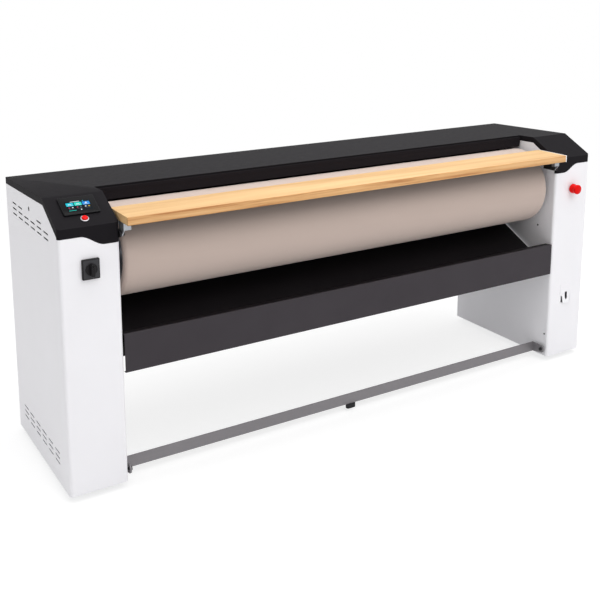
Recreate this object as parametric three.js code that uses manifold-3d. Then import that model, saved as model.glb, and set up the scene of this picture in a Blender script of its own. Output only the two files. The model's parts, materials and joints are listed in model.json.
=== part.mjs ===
// A flatwork ironer: two sheet-metal columns carry a padded roll, a heated bed that presses
// on it from behind, a wooden feed board, a linen tray and a foot bar.
// Millimetres. X runs from the left column to the right one as the user faces the machine,
// Y runs backwards from the user and Z is up. Sizes are taken from the front face of the
// columns (y = 0) and from their underside (z = 0); the whole machine is then moved so that
// its origin lies on the floor, at the middle of its length and depth.
import * as THREE from 'three';
import { mergeVertices } from 'three/addons/utils/BufferGeometryUtils.js';
import Module from 'manifold-3d';

const wasm = await Module();
wasm.setup();

// ---------- driving dimensions ----------

// Columns
const MACHINE_LENGTH = 2580;
const COLUMN_WIDTH = 218;
const COLUMN_DEPTH = 650;
const PANEL_SHEET = 2;
const SIDE_PLATE = 4;
const CORNER_RADIUS = 12;
const FRONT_RETURN = 14;
const BASE_PLATE = 4;
const SEAM = 0.8;
const FIT = 0.3;
const SHEET_CORNER_STEPS = 6;
const FILLET_STEPS = 3;
const FOOT_HEIGHT = 24;
const FOOT_RADIUS = 22;
const FOOT_PAD = 9;
const FOOT_PAD_EDGE = 3;
const FOOT_PAD_BEVEL = 4;
const FOOT_STUD_RADIUS = 6;
const FOOT_NECK = 5;
const FOOT_STUD_ABOVE = 16;
const FOOT_INSET = 70;
const GLAND_SET_IN = 170;
const GLAND_STEM_RADIUS = 10;
const GLAND_NUT_RADIUS = 14;
const GLAND_NUT = 5;
const GLAND_BODY = 17;
const GLAND_BORE = 5;
const GLAND_TAPER = 2;
const GLAND_SHOULDER = 1;

// Hood
const HOOD_SHEET = 2.5;
const HOOD_BEND_TOP = 1060;
const HOOD_REAR_FALL = 16;
const HOOD_BEND_DEPTH = 156;
const HOOD_NOSE_FALL = 80;
const SKIRT_HEIGHT = 25;
const SKIRT_NOSE_HEIGHT = 34;
const WAVE_FALL = 36.5;
const WAVE_WIDTH = 88;
const WAVE_CENTRE_INSET = 122;
const WAVE_STEPS = 14;
const FEED_DEPTH = 245;

// Roll
const ROLL_RADIUS = 175;
const ROLL_END_GAP = 27;
const ROLL_DEPTH = 200;
const ROLL_BELOW_BEND = 234;
const CLOTH_THICKNESS = 2.7;
const PADDING_THICKNESS = 7;
const PADDING_SET_BACK = 2;
const TUBE_WALL = 8;
const TUBE_SET_BACK = 5;
const JOURNAL_RADIUS = 20;
const JOURNAL_CLEARANCE = 2;
const JOURNAL_LEFT_REACH = 40;
const JOURNAL_RIGHT_REACH = 62;
const HUB_RADIUS = 40;
const HUB_OUT = 8;
const HUB_LENGTH = 50;
const END_DISC = 12;
const END_DISC_SET_BACK = 12;
const BEARING_FLANGE = 104;
const BEARING_FLANGE_THICKNESS = 12;
const BEARING_FLANGE_CORNER = 10;
const BEARING_HOUSING_RADIUS = 38;
const BEARING_LENGTH = 28;
const BEARING_BOLT_INSET = 15;
const BEARING_BOLT_RADIUS = 7;
const BEARING_BOLT_HEAD = 6;
const BOLT_FLATS = 6;
const ROUND_STEPS = 64;
const SMALL_STEPS = 24;
const PIN_STEPS = 16;

// Chain drive in the right column
const CHAIN_PITCH = 15.875;
const ROLL_TEETH = 30;
const DRIVE_TEETH = 15;
const TOOTH_HEIGHT = 5;
const TOOTH_ROOT = [0, 0.3];
const TOOTH_TIP = [0.5, 0.8];
const SPROCKET_THICKNESS = 8;
const SPROCKET_GAP = 2;
const HUB_WALL = 12;
const CHAIN_THICKNESS = 8;
const CHAIN_WIDTH = 11;
const CHAIN_GAP = 0.5;
const CHAIN_STEPS = 20;
const DRIVE_HEIGHT = 350;
const DRIVE_SHAFT_RADIUS = 14;
const WORM_DROP = 63;
const GEARBOX_OFFSET = 3;
const GEARBOX_WIDTH = 86;
const GEARBOX_DEPTH = 110;
const GEARBOX_ABOVE = 46;
const GEARBOX_BELOW = 38;
const GEARBOX_FILLET = 14;
const GEARBOX_COLLAR_OUT = 8;
const CRANK_NOSE_RADIUS = 18;
const CRANK_NOSE = 14;
const CRANK_STUB = 12;
const CRANK_STUB_LENGTH = 95;
const MOTOR_RADIUS = 62;
const MOTOR_LENGTH = 205;
const MOTOR_FLANGE_RADIUS = 70;
const MOTOR_FLANGE = 10;
const MOTOR_CAP = 10;
const MOTOR_CAP_BEVEL = 8;
const STAND_TUBE = 60;
const STAND_TOP = 6;

// Heated bed and its press shaft
const BED_GAP = 2;
const BED_THICKNESS = 14;
const BED_OPEN = 12;
const BED_END_INSET = 5;
const BED_TOP_ANGLE = 58;
const BED_LOW_ANGLE = -58;
const BED_STEPS = 24;
const ELEMENT_RADIUS = 8;
const ELEMENT_ANGLES = [32, -24];
const ELEMENT_BEND = 12;
const ELEMENT_END_INSET = 30;
const BED_COVER_RISE = 21;
const BED_COVER_SHEET = 2;
const CARRIER_THICKNESS = 8;
const CARRIER_SET_BACK = 6;
const CARRIER_ARM_END = 500;
const CARRIER_ARM_HALF = 26;
const RAIL_HALF_HEIGHT = 10;
const RAIL_START = 425;
const RAIL_LENGTH = 80;
const RAIL_CLEARANCE = 0.5;
const RAIL_SIDE_GAP = 2;
const GUIDE_PAD = 9;
const GUIDE_START = 440;
const GUIDE_LENGTH = 34;
const PRESS_SHAFT_RADIUS = 10;
const PRESS_SHAFT_RIGHT_REACH = 8;
const CAM_RADIUS = 22;
const CAM_LIFT_ANGLE = 90;
const CAM_CLEARANCE = 1.8;
const CAM_STEPS = 36;
const CAM_HELD_ANGLE = 15;
const CAM_FALL_ANGLE = 300;
const FULL_TURN = 360;
const PRESS_MOTOR_SIZE = 96;
const PRESS_MOTOR_LENGTH = 92;
const PRESS_FLANGE = 120;
const PRESS_FLANGE_THICKNESS = 6;
const PRESS_FLANGE_CORNER = 8;
const PRESS_MOTOR_CORNER = 16;

// Rear structure
const BEAM_WIDTH = 40;
const BEAM_HEIGHT = 60;
const BEAM_WALL = 3;
const UPPER_BEAM_SET_IN = 20;
const UPPER_BEAM_ABOVE_ROLL = 124;
const LOWER_BEAM_SET_IN = 50;
const LOWER_BEAM_BELOW_ROLL = 176;
const REAR_PANEL_BELOW_BEAM = 10;

// Feed board
const BOARD_FRONT = -65;
const BOARD_BACK = 108;
const BOARD_BELOW_BEND = 52;
const BOARD_THICKNESS = 30;
const BOARD_END_GAP = 8;
const BOARD_EASE = 2;
const BOARD_BEVEL_DEPTH = 20;
const BOARD_BEVEL_RISE = 16;
const BOARD_PIVOT_DEPTH = 5;
const BOARD_PIVOT_DROP = 73;
const BRACKET_SHEET = 4;
const BRACKET_WIDTH = 28;
const BRACKET_FRONT = -22;
const BRACKET_BACK = 80;
const BRACKET_TAB = 26;
const BRACKET_BOSS = 10;
const BRACKET_WEB = 10;
const BOSS_STEPS = 8;
const BOARD_PIN_RADIUS = 6;
const BOARD_PIN_HEAD = 8;
const BOARD_PIN_HEAD_LENGTH = 6;
const HINGE_PLATE = 5;
const HINGE_LUG = 12;
const HINGE_RIM = 2;
const HINGE_SET_BACK = 4;

// Finger guard
const GUARD_FRONT = 237;
const GUARD_THICKNESS = 5;
const GUARD_BELOW_BEND = 10;
const GUARD_HEIGHT = 46;
const GUARD_PIVOT_DROP = 10;
const GUARD_END_GAP = 5;
const GUARD_CORNER = 12;
const GUARD_PIN_RADIUS = 4;

// Linen tray
const TRAY_SHEET = 2;
const TRAY_BELOW_ROLL = 84;
const TRAY_LIP_HEIGHT = 146;
const TRAY_LIP_FALL = 4;
const TRAY_LIP_DEPTH = 40;
const TRAY_VALLEY_DEPTH = 52;
const TRAY_VALLEY_DROP = 101;
const TRAY_SHELF = 60;
const TRAY_END_GAP = 4;
const TRAY_LIP_HEM = 14;

// Foot bar
const PEDAL_HEIGHT = 46;
const PEDAL_THICKNESS = 6;
const PEDAL_BOTTOM = 7;
const PEDAL_BACK = 84;
const PEDAL_END_GAP = 10;
const PEDAL_PIVOT_DEPTH = 24;
const PEDAL_PIVOT_HEIGHT = 35;
const PEDAL_ARM_NOSE = 18;
const PEDAL_PIN_RADIUS = 6;
const PEDAL_PIN_HEAD = 8;
const PEDAL_PIN_HEAD_LENGTH = 6;
const PEDAL_PIN_CLEARANCE = 1;
const PEDAL_PIN_INSIDE = 14;
const BUMPER_WIDTH = 44;
const BUMPER_DEPTH = 20;
const BUMPER_BOTTOM = -12;
const BUMPER_OFFSET = -30;
const BUMPER_CORNER = 8;

// Controls
const SCREEN_WIDTH = 130;
const SCREEN_HEIGHT = 94;
const SCREEN_PROUD = 6;
const SCREEN_UP_SLOPE = 109;
const SCREEN_CORNER = 5;
const SCREEN_BODY_INSET = 10;
const SCREEN_BODY_DEPTH = 22;
const SCREEN_CLEARANCE = 1;
const STOP_UP_SLOPE = 40;
const STOP_BEZEL_RADIUS = 15;
const STOP_BEZEL_HEIGHT = 4.2;
const STOP_BEZEL_BEVEL = 1.2;
const STOP_BARREL_RADIUS = 12.5;
const STOP_BUTTON_RADIUS = 10.4;
const STOP_BUTTON_PROUD = 8;
const STOP_BUTTON_EDGE = 2;
const STOP_BUTTON_CROWN = 0.6;
const STOP_BUTTON_SET_IN = 6;
const STOP_BARREL_DEPTH = 20;
const STOP_CLEARANCE = 0.4;
const SWITCH_ABOVE_ROLL = 4;
const SWITCH_PLATE_WIDTH = 62;
const SWITCH_PLATE_HEIGHT = 72;
const SWITCH_PLATE_THICKNESS = 12;
const SWITCH_PLATE_CORNER = 3;
const SWITCH_SHAFT_RADIUS = 8;
const SWITCH_SHAFT_LENGTH = 34;
const SWITCH_DISC_RADIUS = 21;
const SWITCH_DISC_THICKNESS = 4;
const SWITCH_DISC_BEVEL = 1;
const SWITCH_GRIP_WIDTH = 15;
const SWITCH_GRIP_HEIGHT = 46;
const SWITCH_GRIP_DEPTH = 20;
const SWITCH_GRIP_CORNER = 4;
const ESTOP_ABOVE_ROLL = 2;
const ESTOP_STEM_RADIUS = 11;
const ESTOP_STEM_BACK = 34;
const ESTOP_REAR = -6;
const ESTOP_FRONT = -44;
const BUTTON_CLEARANCE = 0.5;

// Emergency stop head from its front to its back: [radius, distance behind the front]
const ESTOP_PROFILE = [
  [0, 0], [13.5, 0.8], [19.5, 3], [22.5, 7], [22.5, 13], [19.5, 20],
  [19.5, 27], [22.5, 33], [22.5, 37], [21.5, 38], [0, 38],
];

// Access flap in the right front panel, in front of the crank stub
const FLAP_ABOVE_CRANK = 69;
const FLAP_FLAT = 56;
const FLAP_BELOW_CRANK = 30;
const FLAP_WIDTH = 80;
const FLAP_SHOULDER = 6;
const FLAP_TONGUE_WIDTH = 54;
const FLAP_TIP_WIDTH = 46;
const FLAP_LEAN = 5;
const FLAP_OPENING_WIDTH = 64;
const FLAP_OVERLAP = 9;
const FLAP_TOE_LAP = 5;
const FLAP_SLOT_WIDTH = 15;
const FLAP_SLOT_HEIGHT = 38;
const FLAP_SLOT_RISE = 8;

// Vents in the outer panels
const VENT_COUNT = 6;
const VENT_LENGTH = 57;
const VENT_HEIGHT = 6;
const VENT_PITCH = 80.6;
const VENT_MIDDLE = 134;
const VENT_STEPS = 2;
const VENT_ROWS = 3;
const VENT_ROW_PITCH = 21;
const UPPER_VENT_DROP = 83;
const UPPER_PARTIAL_SLOTS = [1, 4, 5];
const LOWER_VENT_START = 80;
const LOCK_DEPTH = 336;
const LOCK_DROP = 61;
const LOCK_HOLE_RADIUS = 9;

// Electrical box in the left column
const BOX_WIDTH = 120;
const BOX_FRONT = 190;
const BOX_DEPTH = 280;
const BOX_BOTTOM = 260;
const BOX_HEIGHT = 300;
const BOX_FILLET = 6;

// How far cutters stand out of what they cut, and how far joined bodies run into each other
const OVERREACH = 10;
const WELD = 1;
const HAIR = 0.01;

// ---------- values that follow ----------

const outerX = MACHINE_LENGTH / 2;
const innerX = outerX - COLUMN_WIDTH;
const columnMidX = (outerX + innerX) / 2;
const plateBackX = innerX + SIDE_PLATE;
const hoodRearTop = HOOD_BEND_TOP - HOOD_REAR_FALL;
const hoodNoseTop = HOOD_BEND_TOP - HOOD_NOSE_FALL;
const skirtNose = hoodNoseTop - SKIRT_NOSE_HEIGHT;
const waveLow = skirtNose - WAVE_FALL;
const belowHood = waveLow - OVERREACH;
const slopeAngle = Math.atan2(HOOD_NOSE_FALL, HOOD_BEND_DEPTH);
const rollHeight = HOOD_BEND_TOP - ROLL_BELOW_BEND;
const rollHalf = innerX - ROLL_END_GAP;
const bedHalf = rollHalf - BED_END_INSET;
const elementHalf = bedHalf - ELEMENT_END_INSET;
const boardTop = HOOD_BEND_TOP - BOARD_BELOW_BEND;
const boardPivotHeight = boardTop - BOARD_PIVOT_DROP;
const guardTop = HOOD_BEND_TOP - GUARD_BELOW_BEND;
const guardPivotHeight = guardTop - GUARD_PIVOT_DROP;
const trayLipTop = rollHeight - ROLL_RADIUS - TRAY_BELOW_ROLL;
const trayLipBottom = trayLipTop - TRAY_LIP_HEIGHT;
const trayValleyHeight = trayLipTop - TRAY_VALLEY_DROP;
const upperBeamBack = COLUMN_DEPTH - UPPER_BEAM_SET_IN;
const upperBeamBottom = rollHeight + UPPER_BEAM_ABOVE_ROLL;
const lowerBeamBack = COLUMN_DEPTH - LOWER_BEAM_SET_IN;
const trayFloorBack = lowerBeamBack - TRAY_SHELF;
const lowerBeamBottom = rollHeight - LOWER_BEAM_BELOW_ROLL;
const switchHeight = rollHeight + SWITCH_ABOVE_ROLL;
const estopHeight = rollHeight + ESTOP_ABOVE_ROLL;
const crankHeight = DRIVE_HEIGHT - WORM_DROP;
const flapTop = crankHeight + FLAP_ABOVE_CRANK;
const flapBend = flapTop - FLAP_FLAT;
const flapBottom = crankHeight - FLAP_BELOW_CRANK;
const gearboxX = columnMidX + GEARBOX_OFFSET;
const radians = THREE.MathUtils.degToRad;
const pitchRadius = (teeth) => CHAIN_PITCH / (2 * Math.sin(Math.PI / teeth));
const tipRadius = (teeth) => pitchRadius(teeth) + TOOTH_HEIGHT / 2;

// ---------- geometry helpers ----------

// Merges a geometry's vertices by position, drops collapsed triangles and turns its faces out.
function closed(geometry) {
  const bare = geometry.index ? geometry.toNonIndexed() : geometry.clone();
  bare.deleteAttribute('normal');
  bare.deleteAttribute('uv');
  const merged = mergeVertices(bare, 1e-4);
  const at = merged.attributes.position;
  const corners = [];
  let volume = 0;
  const [a, b, c] = [new THREE.Vector3(), new THREE.Vector3(), new THREE.Vector3()];
  for (let i = 0; i < merged.index.count; i += 3) {
    const triangle = [0, 1, 2].map((k) => merged.index.getX(i + k));
    if (new Set(triangle).size < 3) continue;
    corners.push(triangle);
    a.fromBufferAttribute(at, triangle[0]);
    b.fromBufferAttribute(at, triangle[1]);
    c.fromBufferAttribute(at, triangle[2]);
    volume += a.dot(b.cross(c));
  }
  merged.setIndex((volume < 0 ? corners.map((t) => [t[0], t[2], t[1]]) : corners).flat());
  return merged;
}

function toSolid(geometry) {
  const mesh = closed(geometry);
  return new wasm.Manifold(new wasm.Mesh({
    numProp: 3,
    vertProperties: new Float32Array(mesh.attributes.position.array),
    triVerts: new Uint32Array(mesh.index.array),
  }));
}

function toGeometry(solid) {
  const mesh = solid.getMesh();
  const geometry = new THREE.BufferGeometry();
  geometry.setAttribute('position', new THREE.BufferAttribute(new Float32Array(mesh.vertProperties), 3));
  geometry.setIndex([...mesh.triVerts]);
  return geometry;
}

function join(first, ...others) {
  return toGeometry(others.reduce((sum, g) => sum.add(toSolid(g)), toSolid(first)));
}

function cut(body, ...tools) {
  return toGeometry(tools.reduce((rest, g) => rest.subtract(toSolid(g)), toSolid(body)));
}

function overlap(first, second) {
  return toGeometry(toSolid(first).intersect(toSolid(second)));
}

const outline = (points) => new THREE.Shape(points.map(([u, v]) => new THREE.Vector2(u, v)));

// Extrudes an outline drawn in (y, z) along X, one in (x, z) along Y, or one in (x, y) along Z.
function alongX(points, from, to, holes = []) {
  const shape = outline(points);
  shape.holes.push(...holes.map(outline));
  const body = new THREE.ExtrudeGeometry(shape, { depth: to - from, bevelEnabled: false });
  const [x, y, z] = [new THREE.Vector3(1, 0, 0), new THREE.Vector3(0, 1, 0), new THREE.Vector3(0, 0, 1)];
  return body.applyMatrix4(new THREE.Matrix4().makeBasis(y, z, x)).translate(from, 0, 0);
}

function alongY(points, from, to) {
  const body = new THREE.ExtrudeGeometry(outline(points), { depth: to - from, bevelEnabled: false });
  return body.rotateX(Math.PI / 2).translate(0, to, 0);
}

function alongZ(points, from, to) {
  const body = new THREE.ExtrudeGeometry(outline(points), { depth: to - from, bevelEnabled: false });
  return body.translate(0, 0, from);
}

function block(x0, x1, y0, y1, z0, z1) {
  const body = new THREE.BoxGeometry(Math.abs(x1 - x0), Math.abs(y1 - y0), Math.abs(z1 - z0));
  return body.translate((x0 + x1) / 2, (y0 + y1) / 2, (z0 + z1) / 2);
}

// Turned bodies: each profile is a list of [radius, place along the axis].
function turned(profile, steps) {
  return new THREE.LatheGeometry(profile.map(([r, h]) => new THREE.Vector2(r, h)), steps);
}

const turnedX = (profile, steps) => turned(profile, steps).rotateZ(-Math.PI / 2);
const turnedY = (profile, steps) => turned(profile, steps);
const turnedZ = (profile, steps) => turned(profile, steps).rotateX(Math.PI / 2);

const rod = (radius, from, to) => [[0, from], [radius, from], [radius, to], [0, to]];
const ring = (bore, radius, from, to) =>
  [[bore, from], [radius, from], [radius, to], [bore, to], [bore, from]];

function arc(centreU, centreV, radius, from, to, steps) {
  return Array.from({ length: steps + 1 }, (_, i) => {
    const angle = radians(from + ((to - from) * i) / steps);
    return [centreU + radius * Math.cos(angle), centreV + radius * Math.sin(angle)];
  });
}

function roundedRectangle(u0, u1, v0, v1, radius, steps) {
  return [
    ...arc(u1 - radius, v0 + radius, radius, -90, 0, steps),
    ...arc(u1 - radius, v1 - radius, radius, 0, 90, steps),
    ...arc(u0 + radius, v1 - radius, radius, 90, 180, steps),
    ...arc(u0 + radius, v0 + radius, radius, 180, 270, steps),
  ];
}

function mirrored(geometry, side) {
  return side > 0 ? geometry : geometry.clone().applyMatrix4(new THREE.Matrix4().makeScale(-1, 1, 1));
}

const finish = (color, roughness, metalness) => ({ color, roughness, metalness });
const WHITE_PAINT = finish('#eeedf0', 0.45, 0.0);
const BLACK_PAINT = finish('#343135', 0.55, 0.0);
const TRAY_PAINT = finish('#3c393d', 0.5, 0.0);
const GREY_STEEL = finish('#767376', 0.45, 0.6);
const BRIGHT_STEEL = finish('#b9bbbf', 0.3, 0.9);
const ZINC = finish('#9fa3a6', 0.45, 0.8);
const CAST_ALUMINIUM = finish('#a9abae', 0.5, 0.8);
const POLISHED_ALUMINIUM = finish('#c9cbcd', 0.2, 0.95);
const CAST_IRON = finish('#4a4d52', 0.7, 0.5);
const MOTOR_BLUE_GREY = finish('#5a6067', 0.5, 0.3);
const BLACK_OXIDE = finish('#1d1d1f', 0.5, 0.4);
const BLACK_PLASTIC = finish('#2b2a2d', 0.5, 0.0);
const RED_PLASTIC = finish('#ee1d18', 0.3, 0.0);
const BEECH = finish('#f2c78f', 0.5, 0.0);
const ROLL_CLOTH = finish('#b9a89e', 0.95, 0.0);
const ROLL_FELT = finish('#d9d5cc', 1.0, 0.0);
const RUBBER = finish('#3a3a3c', 0.9, 0.0);
const CABINET_GREY = finish('#c6c8c9', 0.5, 0.2);

const machine = new THREE.Group();
machine.position.set(0, -(BOARD_FRONT + COLUMN_DEPTH) / 2, FOOT_HEIGHT);

function place(y, z, turn = 0) {
  const group = new THREE.Group();
  group.position.set(0, y, z);
  group.rotation.x = turn;
  machine.add(group);
  return group;
}

function part(name, geometry, look, group = machine) {
  const mesh = new THREE.Mesh(closed(geometry), new THREE.MeshStandardMaterial(look));
  mesh.name = name;
  group.add(mesh);
}

const sides = [{ side: -1, at: 'left' }, { side: 1, at: 'right' }];

// ---------- lines shared by the hood and the columns ----------

// The hood's top line over the depth, and the lower edge of its skirts.
const hoodTop = [
  [0, hoodNoseTop],
  [HOOD_BEND_DEPTH, HOOD_BEND_TOP],
  [COLUMN_DEPTH, hoodRearTop],
];
const skirtEdge = [
  [0, skirtNose],
  [HOOD_BEND_DEPTH, HOOD_BEND_TOP - SKIRT_HEIGHT],
  [COLUMN_DEPTH, hoodRearTop - SKIRT_HEIGHT],
];

function heightOn(line, y) {
  const k = y < line[1][0] ? 0 : 1;
  const [[y0, z0], [y1, z1]] = [line[k], line[k + 1]];
  return z0 + ((z1 - z0) * (y - y0)) / (y1 - y0);
}

// The wavy edge between hood and front panel: low beside the roll, high at the outer corner.
function waveEdge(drop) {
  const centre = outerX - WAVE_CENTRE_INSET;
  return Array.from({ length: WAVE_STEPS + 1 }, (_, i) => {
    const t = i / WAVE_STEPS;
    const rise = (1 - Math.cos(Math.PI * t)) / 2;
    return [centre + WAVE_WIDTH * (t - 0.5), waveLow + (skirtNose - waveLow) * rise - drop];
  });
}

// ---------- columns ----------

function frontPanel() {
  const skin = (inset) => [
    [innerX + inset, FRONT_RETURN],
    ...arc(innerX + CORNER_RADIUS, CORNER_RADIUS, CORNER_RADIUS - inset, 180, 270, SHEET_CORNER_STEPS),
    ...arc(outerX - CORNER_RADIUS, CORNER_RADIUS, CORNER_RADIUS - inset, 270, 360, SHEET_CORNER_STEPS),
    [outerX - inset, FRONT_RETURN],
  ];
  const strip = [...skin(0), ...skin(PANEL_SHEET).reverse()];
  const body = alongZ(strip, 0, hoodNoseTop);
  const [left, right] = [innerX - OVERREACH, outerX + OVERREACH];
  const [front, back] = [-OVERREACH, FRONT_RETURN + OVERREACH];
  const aboveWave = alongY([
    [left, waveLow - SEAM],
    ...waveEdge(SEAM),
    [right, skirtNose - SEAM],
    [right, HOOD_BEND_TOP],
    [left, HOOD_BEND_TOP],
  ], front, CORNER_RADIUS);
  const aboveSkirt = alongX([
    [front, heightOn(skirtEdge, front) - SEAM],
    [back, heightOn(skirtEdge, back) - SEAM],
    [back, HOOD_BEND_TOP],
    [front, HOOD_BEND_TOP],
  ], left, right);
  return cut(body, aboveWave, aboveSkirt);
}

const throughFront = (radius, height) =>
  turnedY(rod(radius, -OVERREACH, OVERREACH), SMALL_STEPS).translate(columnMidX, 0, height);

function stadium(u, v, width, height, steps) {
  const upright = height > width;
  const radius = Math.min(width, height) / 2;
  const reach = Math.abs(height - width) / 2;
  return upright
    ? [...arc(u, v + reach, radius, 0, 180, steps), ...arc(u, v - reach, radius, 180, 360, steps)]
    : [...arc(u + reach, v, radius, -90, 90, steps), ...arc(u - reach, v, radius, 90, 270, steps)];
}

// The side of a column, from its front return to its rear cover, up to the skirt of the hood.
function columnSide() {
  const front = FRONT_RETURN + FIT;
  const back = COLUMN_DEPTH - PANEL_SHEET - FIT;
  return [
    [front, 0],
    [back, 0],
    [back, heightOn(skirtEdge, back) - SEAM],
    [HOOD_BEND_DEPTH, heightOn(skirtEdge, HOOD_BEND_DEPTH) - SEAM],
    [front, heightOn(skirtEdge, front) - SEAM],
  ];
}

function outerPanel() {
  const holes = [arc(LOCK_DEPTH, hoodRearTop - LOCK_DROP, LOCK_HOLE_RADIUS, 0, 345, SMALL_STEPS - 1)];
  for (let index = 0; index < VENT_COUNT; index += 1) {
    const middle = VENT_MIDDLE + VENT_PITCH * index;
    for (let row = 0; row < VENT_ROWS; row += 1) {
      const upper = hoodRearTop - UPPER_VENT_DROP - VENT_ROW_PITCH * row;
      const lower = LOWER_VENT_START + VENT_ROW_PITCH * row;
      const heights = row > 0 || UPPER_PARTIAL_SLOTS.includes(index) ? [upper, lower] : [lower];
      holes.push(...heights.map((height) => stadium(middle, height, VENT_LENGTH, VENT_HEIGHT, VENT_STEPS)));
    }
  }
  return alongX(columnSide(), outerX - PANEL_SHEET, outerX, holes);
}

function innerPlate() {
  const hole = (radius, y, z) =>
    turnedX(rod(radius, innerX - OVERREACH, plateBackX + OVERREACH), SMALL_STEPS).translate(0, y, z);
  return cut(
    alongX(columnSide(), innerX, plateBackX),
    hole(JOURNAL_RADIUS + JOURNAL_CLEARANCE, ROLL_DEPTH, rollHeight),
    hole(PEDAL_PIN_RADIUS + PEDAL_PIN_CLEARANCE, PEDAL_PIVOT_DEPTH, PEDAL_PIVOT_HEIGHT),
    hole(PRESS_SHAFT_RADIUS + BUTTON_CLEARANCE, pressDepth, rollHeight),
  );
}

const feetDepths = [FOOT_INSET, COLUMN_DEPTH - FOOT_INSET];
const glandDepth = COLUMN_DEPTH - GLAND_SET_IN;
const throughBase = (radius, y) =>
  turnedZ(rod(radius, -OVERREACH, BASE_PLATE + OVERREACH), SMALL_STEPS).translate(columnMidX, y, 0);

function basePlate() {
  const plate = block(plateBackX + FIT, outerX - PANEL_SHEET - FIT, CORNER_RADIUS,
    COLUMN_DEPTH - PANEL_SHEET - FIT, 0, BASE_PLATE);
  return cut(plate, ...feetDepths.map((y) => throughBase(FOOT_STUD_RADIUS + BUTTON_CLEARANCE, y)));
}

const pressDepth = CARRIER_ARM_END + CAM_CLEARANCE + CAM_RADIUS;
const standHeight = DRIVE_HEIGHT - WORM_DROP - GEARBOX_BELOW - FIT;

function motorStand() {
  const half = STAND_TUBE / 2;
  const [halfWidth, halfDepth] = [GEARBOX_WIDTH / 2, GEARBOX_DEPTH / 2];
  return join(
    block(gearboxX - half, gearboxX + half, ROLL_DEPTH - half, ROLL_DEPTH + half, BASE_PLATE - WELD,
      standHeight - STAND_TOP + WELD),
    block(gearboxX - halfWidth, gearboxX + halfWidth, ROLL_DEPTH - halfDepth, ROLL_DEPTH + halfDepth,
      standHeight - STAND_TOP, standHeight),
  );
}

const flapOpening = block(columnMidX - FLAP_OPENING_WIDTH / 2, columnMidX + FLAP_OPENING_WIDTH / 2,
  -OVERREACH, OVERREACH, flapBottom + FLAP_TOE_LAP, flapTop - FLAP_OVERLAP);

for (const { side, at } of sides) {
  const openings = side < 0
    ? [throughFront(SWITCH_SHAFT_RADIUS + BUTTON_CLEARANCE, switchHeight)]
    : [throughFront(ESTOP_STEM_RADIUS + BUTTON_CLEARANCE, estopHeight), flapOpening];
  part(`${at}_front_panel`, mirrored(cut(frontPanel(), ...openings), side), WHITE_PAINT);
  part(`${at}_outer_panel`, mirrored(outerPanel(), side), WHITE_PAINT);
  part(`${at}_inner_plate`, mirrored(innerPlate(), side), WHITE_PAINT);
  const rearCover = block(innerX, outerX, COLUMN_DEPTH - PANEL_SHEET, COLUMN_DEPTH, 0,
    heightOn(skirtEdge, COLUMN_DEPTH) - SEAM);
  part(`${at}_rear_cover`, mirrored(rearCover, side), WHITE_PAINT);
  const base = side < 0
    ? cut(basePlate(), throughBase(GLAND_STEM_RADIUS + FIT, glandDepth))
    : join(basePlate(), motorStand());
  part(`${at}_base`, mirrored(base, side), ZINC);
  feetDepths.forEach((y, k) => {
    const foot = turnedZ([
      [0, -FOOT_HEIGHT],
      [FOOT_RADIUS, -FOOT_HEIGHT],
      [FOOT_RADIUS, -FOOT_HEIGHT + FOOT_PAD - FOOT_PAD_EDGE],
      [FOOT_RADIUS - FOOT_PAD_BEVEL, -FOOT_HEIGHT + FOOT_PAD],
      [FOOT_STUD_RADIUS + FOOT_NECK, -FOOT_HEIGHT + FOOT_PAD],
      [FOOT_STUD_RADIUS + FOOT_NECK, -FIT],
      [FOOT_STUD_RADIUS, -FIT],
      [FOOT_STUD_RADIUS, BASE_PLATE + FOOT_STUD_ABOVE],
      [0, BASE_PLATE + FOOT_STUD_ABOVE],
    ], SMALL_STEPS).translate(side * columnMidX, y, 0);
    part(`${at}_${k === 0 ? 'front' : 'rear'}_foot`, foot, GREY_STEEL);
  });
}

part('cable_gland', turnedZ([
  [GLAND_BORE, -GLAND_BODY],
  [GLAND_STEM_RADIUS - GLAND_TAPER, -GLAND_BODY],
  [GLAND_NUT_RADIUS - GLAND_SHOULDER, -GLAND_BODY + GLAND_NUT],
  [GLAND_NUT_RADIUS - GLAND_SHOULDER, -FIT],
  [GLAND_STEM_RADIUS, -FIT],
  [GLAND_STEM_RADIUS, BASE_PLATE + FIT],
  [GLAND_NUT_RADIUS, BASE_PLATE + FIT],
  [GLAND_NUT_RADIUS, BASE_PLATE + FIT + GLAND_NUT],
  [GLAND_BORE, BASE_PLATE + FIT + GLAND_NUT],
  [GLAND_BORE, -GLAND_BODY],
], SMALL_STEPS).translate(-columnMidX, glandDepth, 0), BLACK_PLASTIC);

// ---------- rear structure ----------

function boxTube(back, bottom) {
  const section = (inset) => [
    [back - BEAM_WIDTH + inset, bottom + inset],
    [back - inset, bottom + inset],
    [back - inset, bottom + BEAM_HEIGHT - inset],
    [back - BEAM_WIDTH + inset, bottom + BEAM_HEIGHT - inset],
  ];
  return alongX(section(0), -innerX + FIT, innerX - FIT, [section(BEAM_WALL)]);
}

part('upper_rear_beam', boxTube(upperBeamBack, upperBeamBottom), GREY_STEEL);
part('lower_rear_beam', boxTube(lowerBeamBack, lowerBeamBottom), GREY_STEEL);
part('rear_panel', block(-innerX + FIT, innerX - FIT, COLUMN_DEPTH - PANEL_SHEET, COLUMN_DEPTH,
  lowerBeamBottom - REAR_PANEL_BELOW_BEAM, heightOn(skirtEdge, COLUMN_DEPTH) - SEAM), WHITE_PAINT);

// ---------- hood ----------

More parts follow.
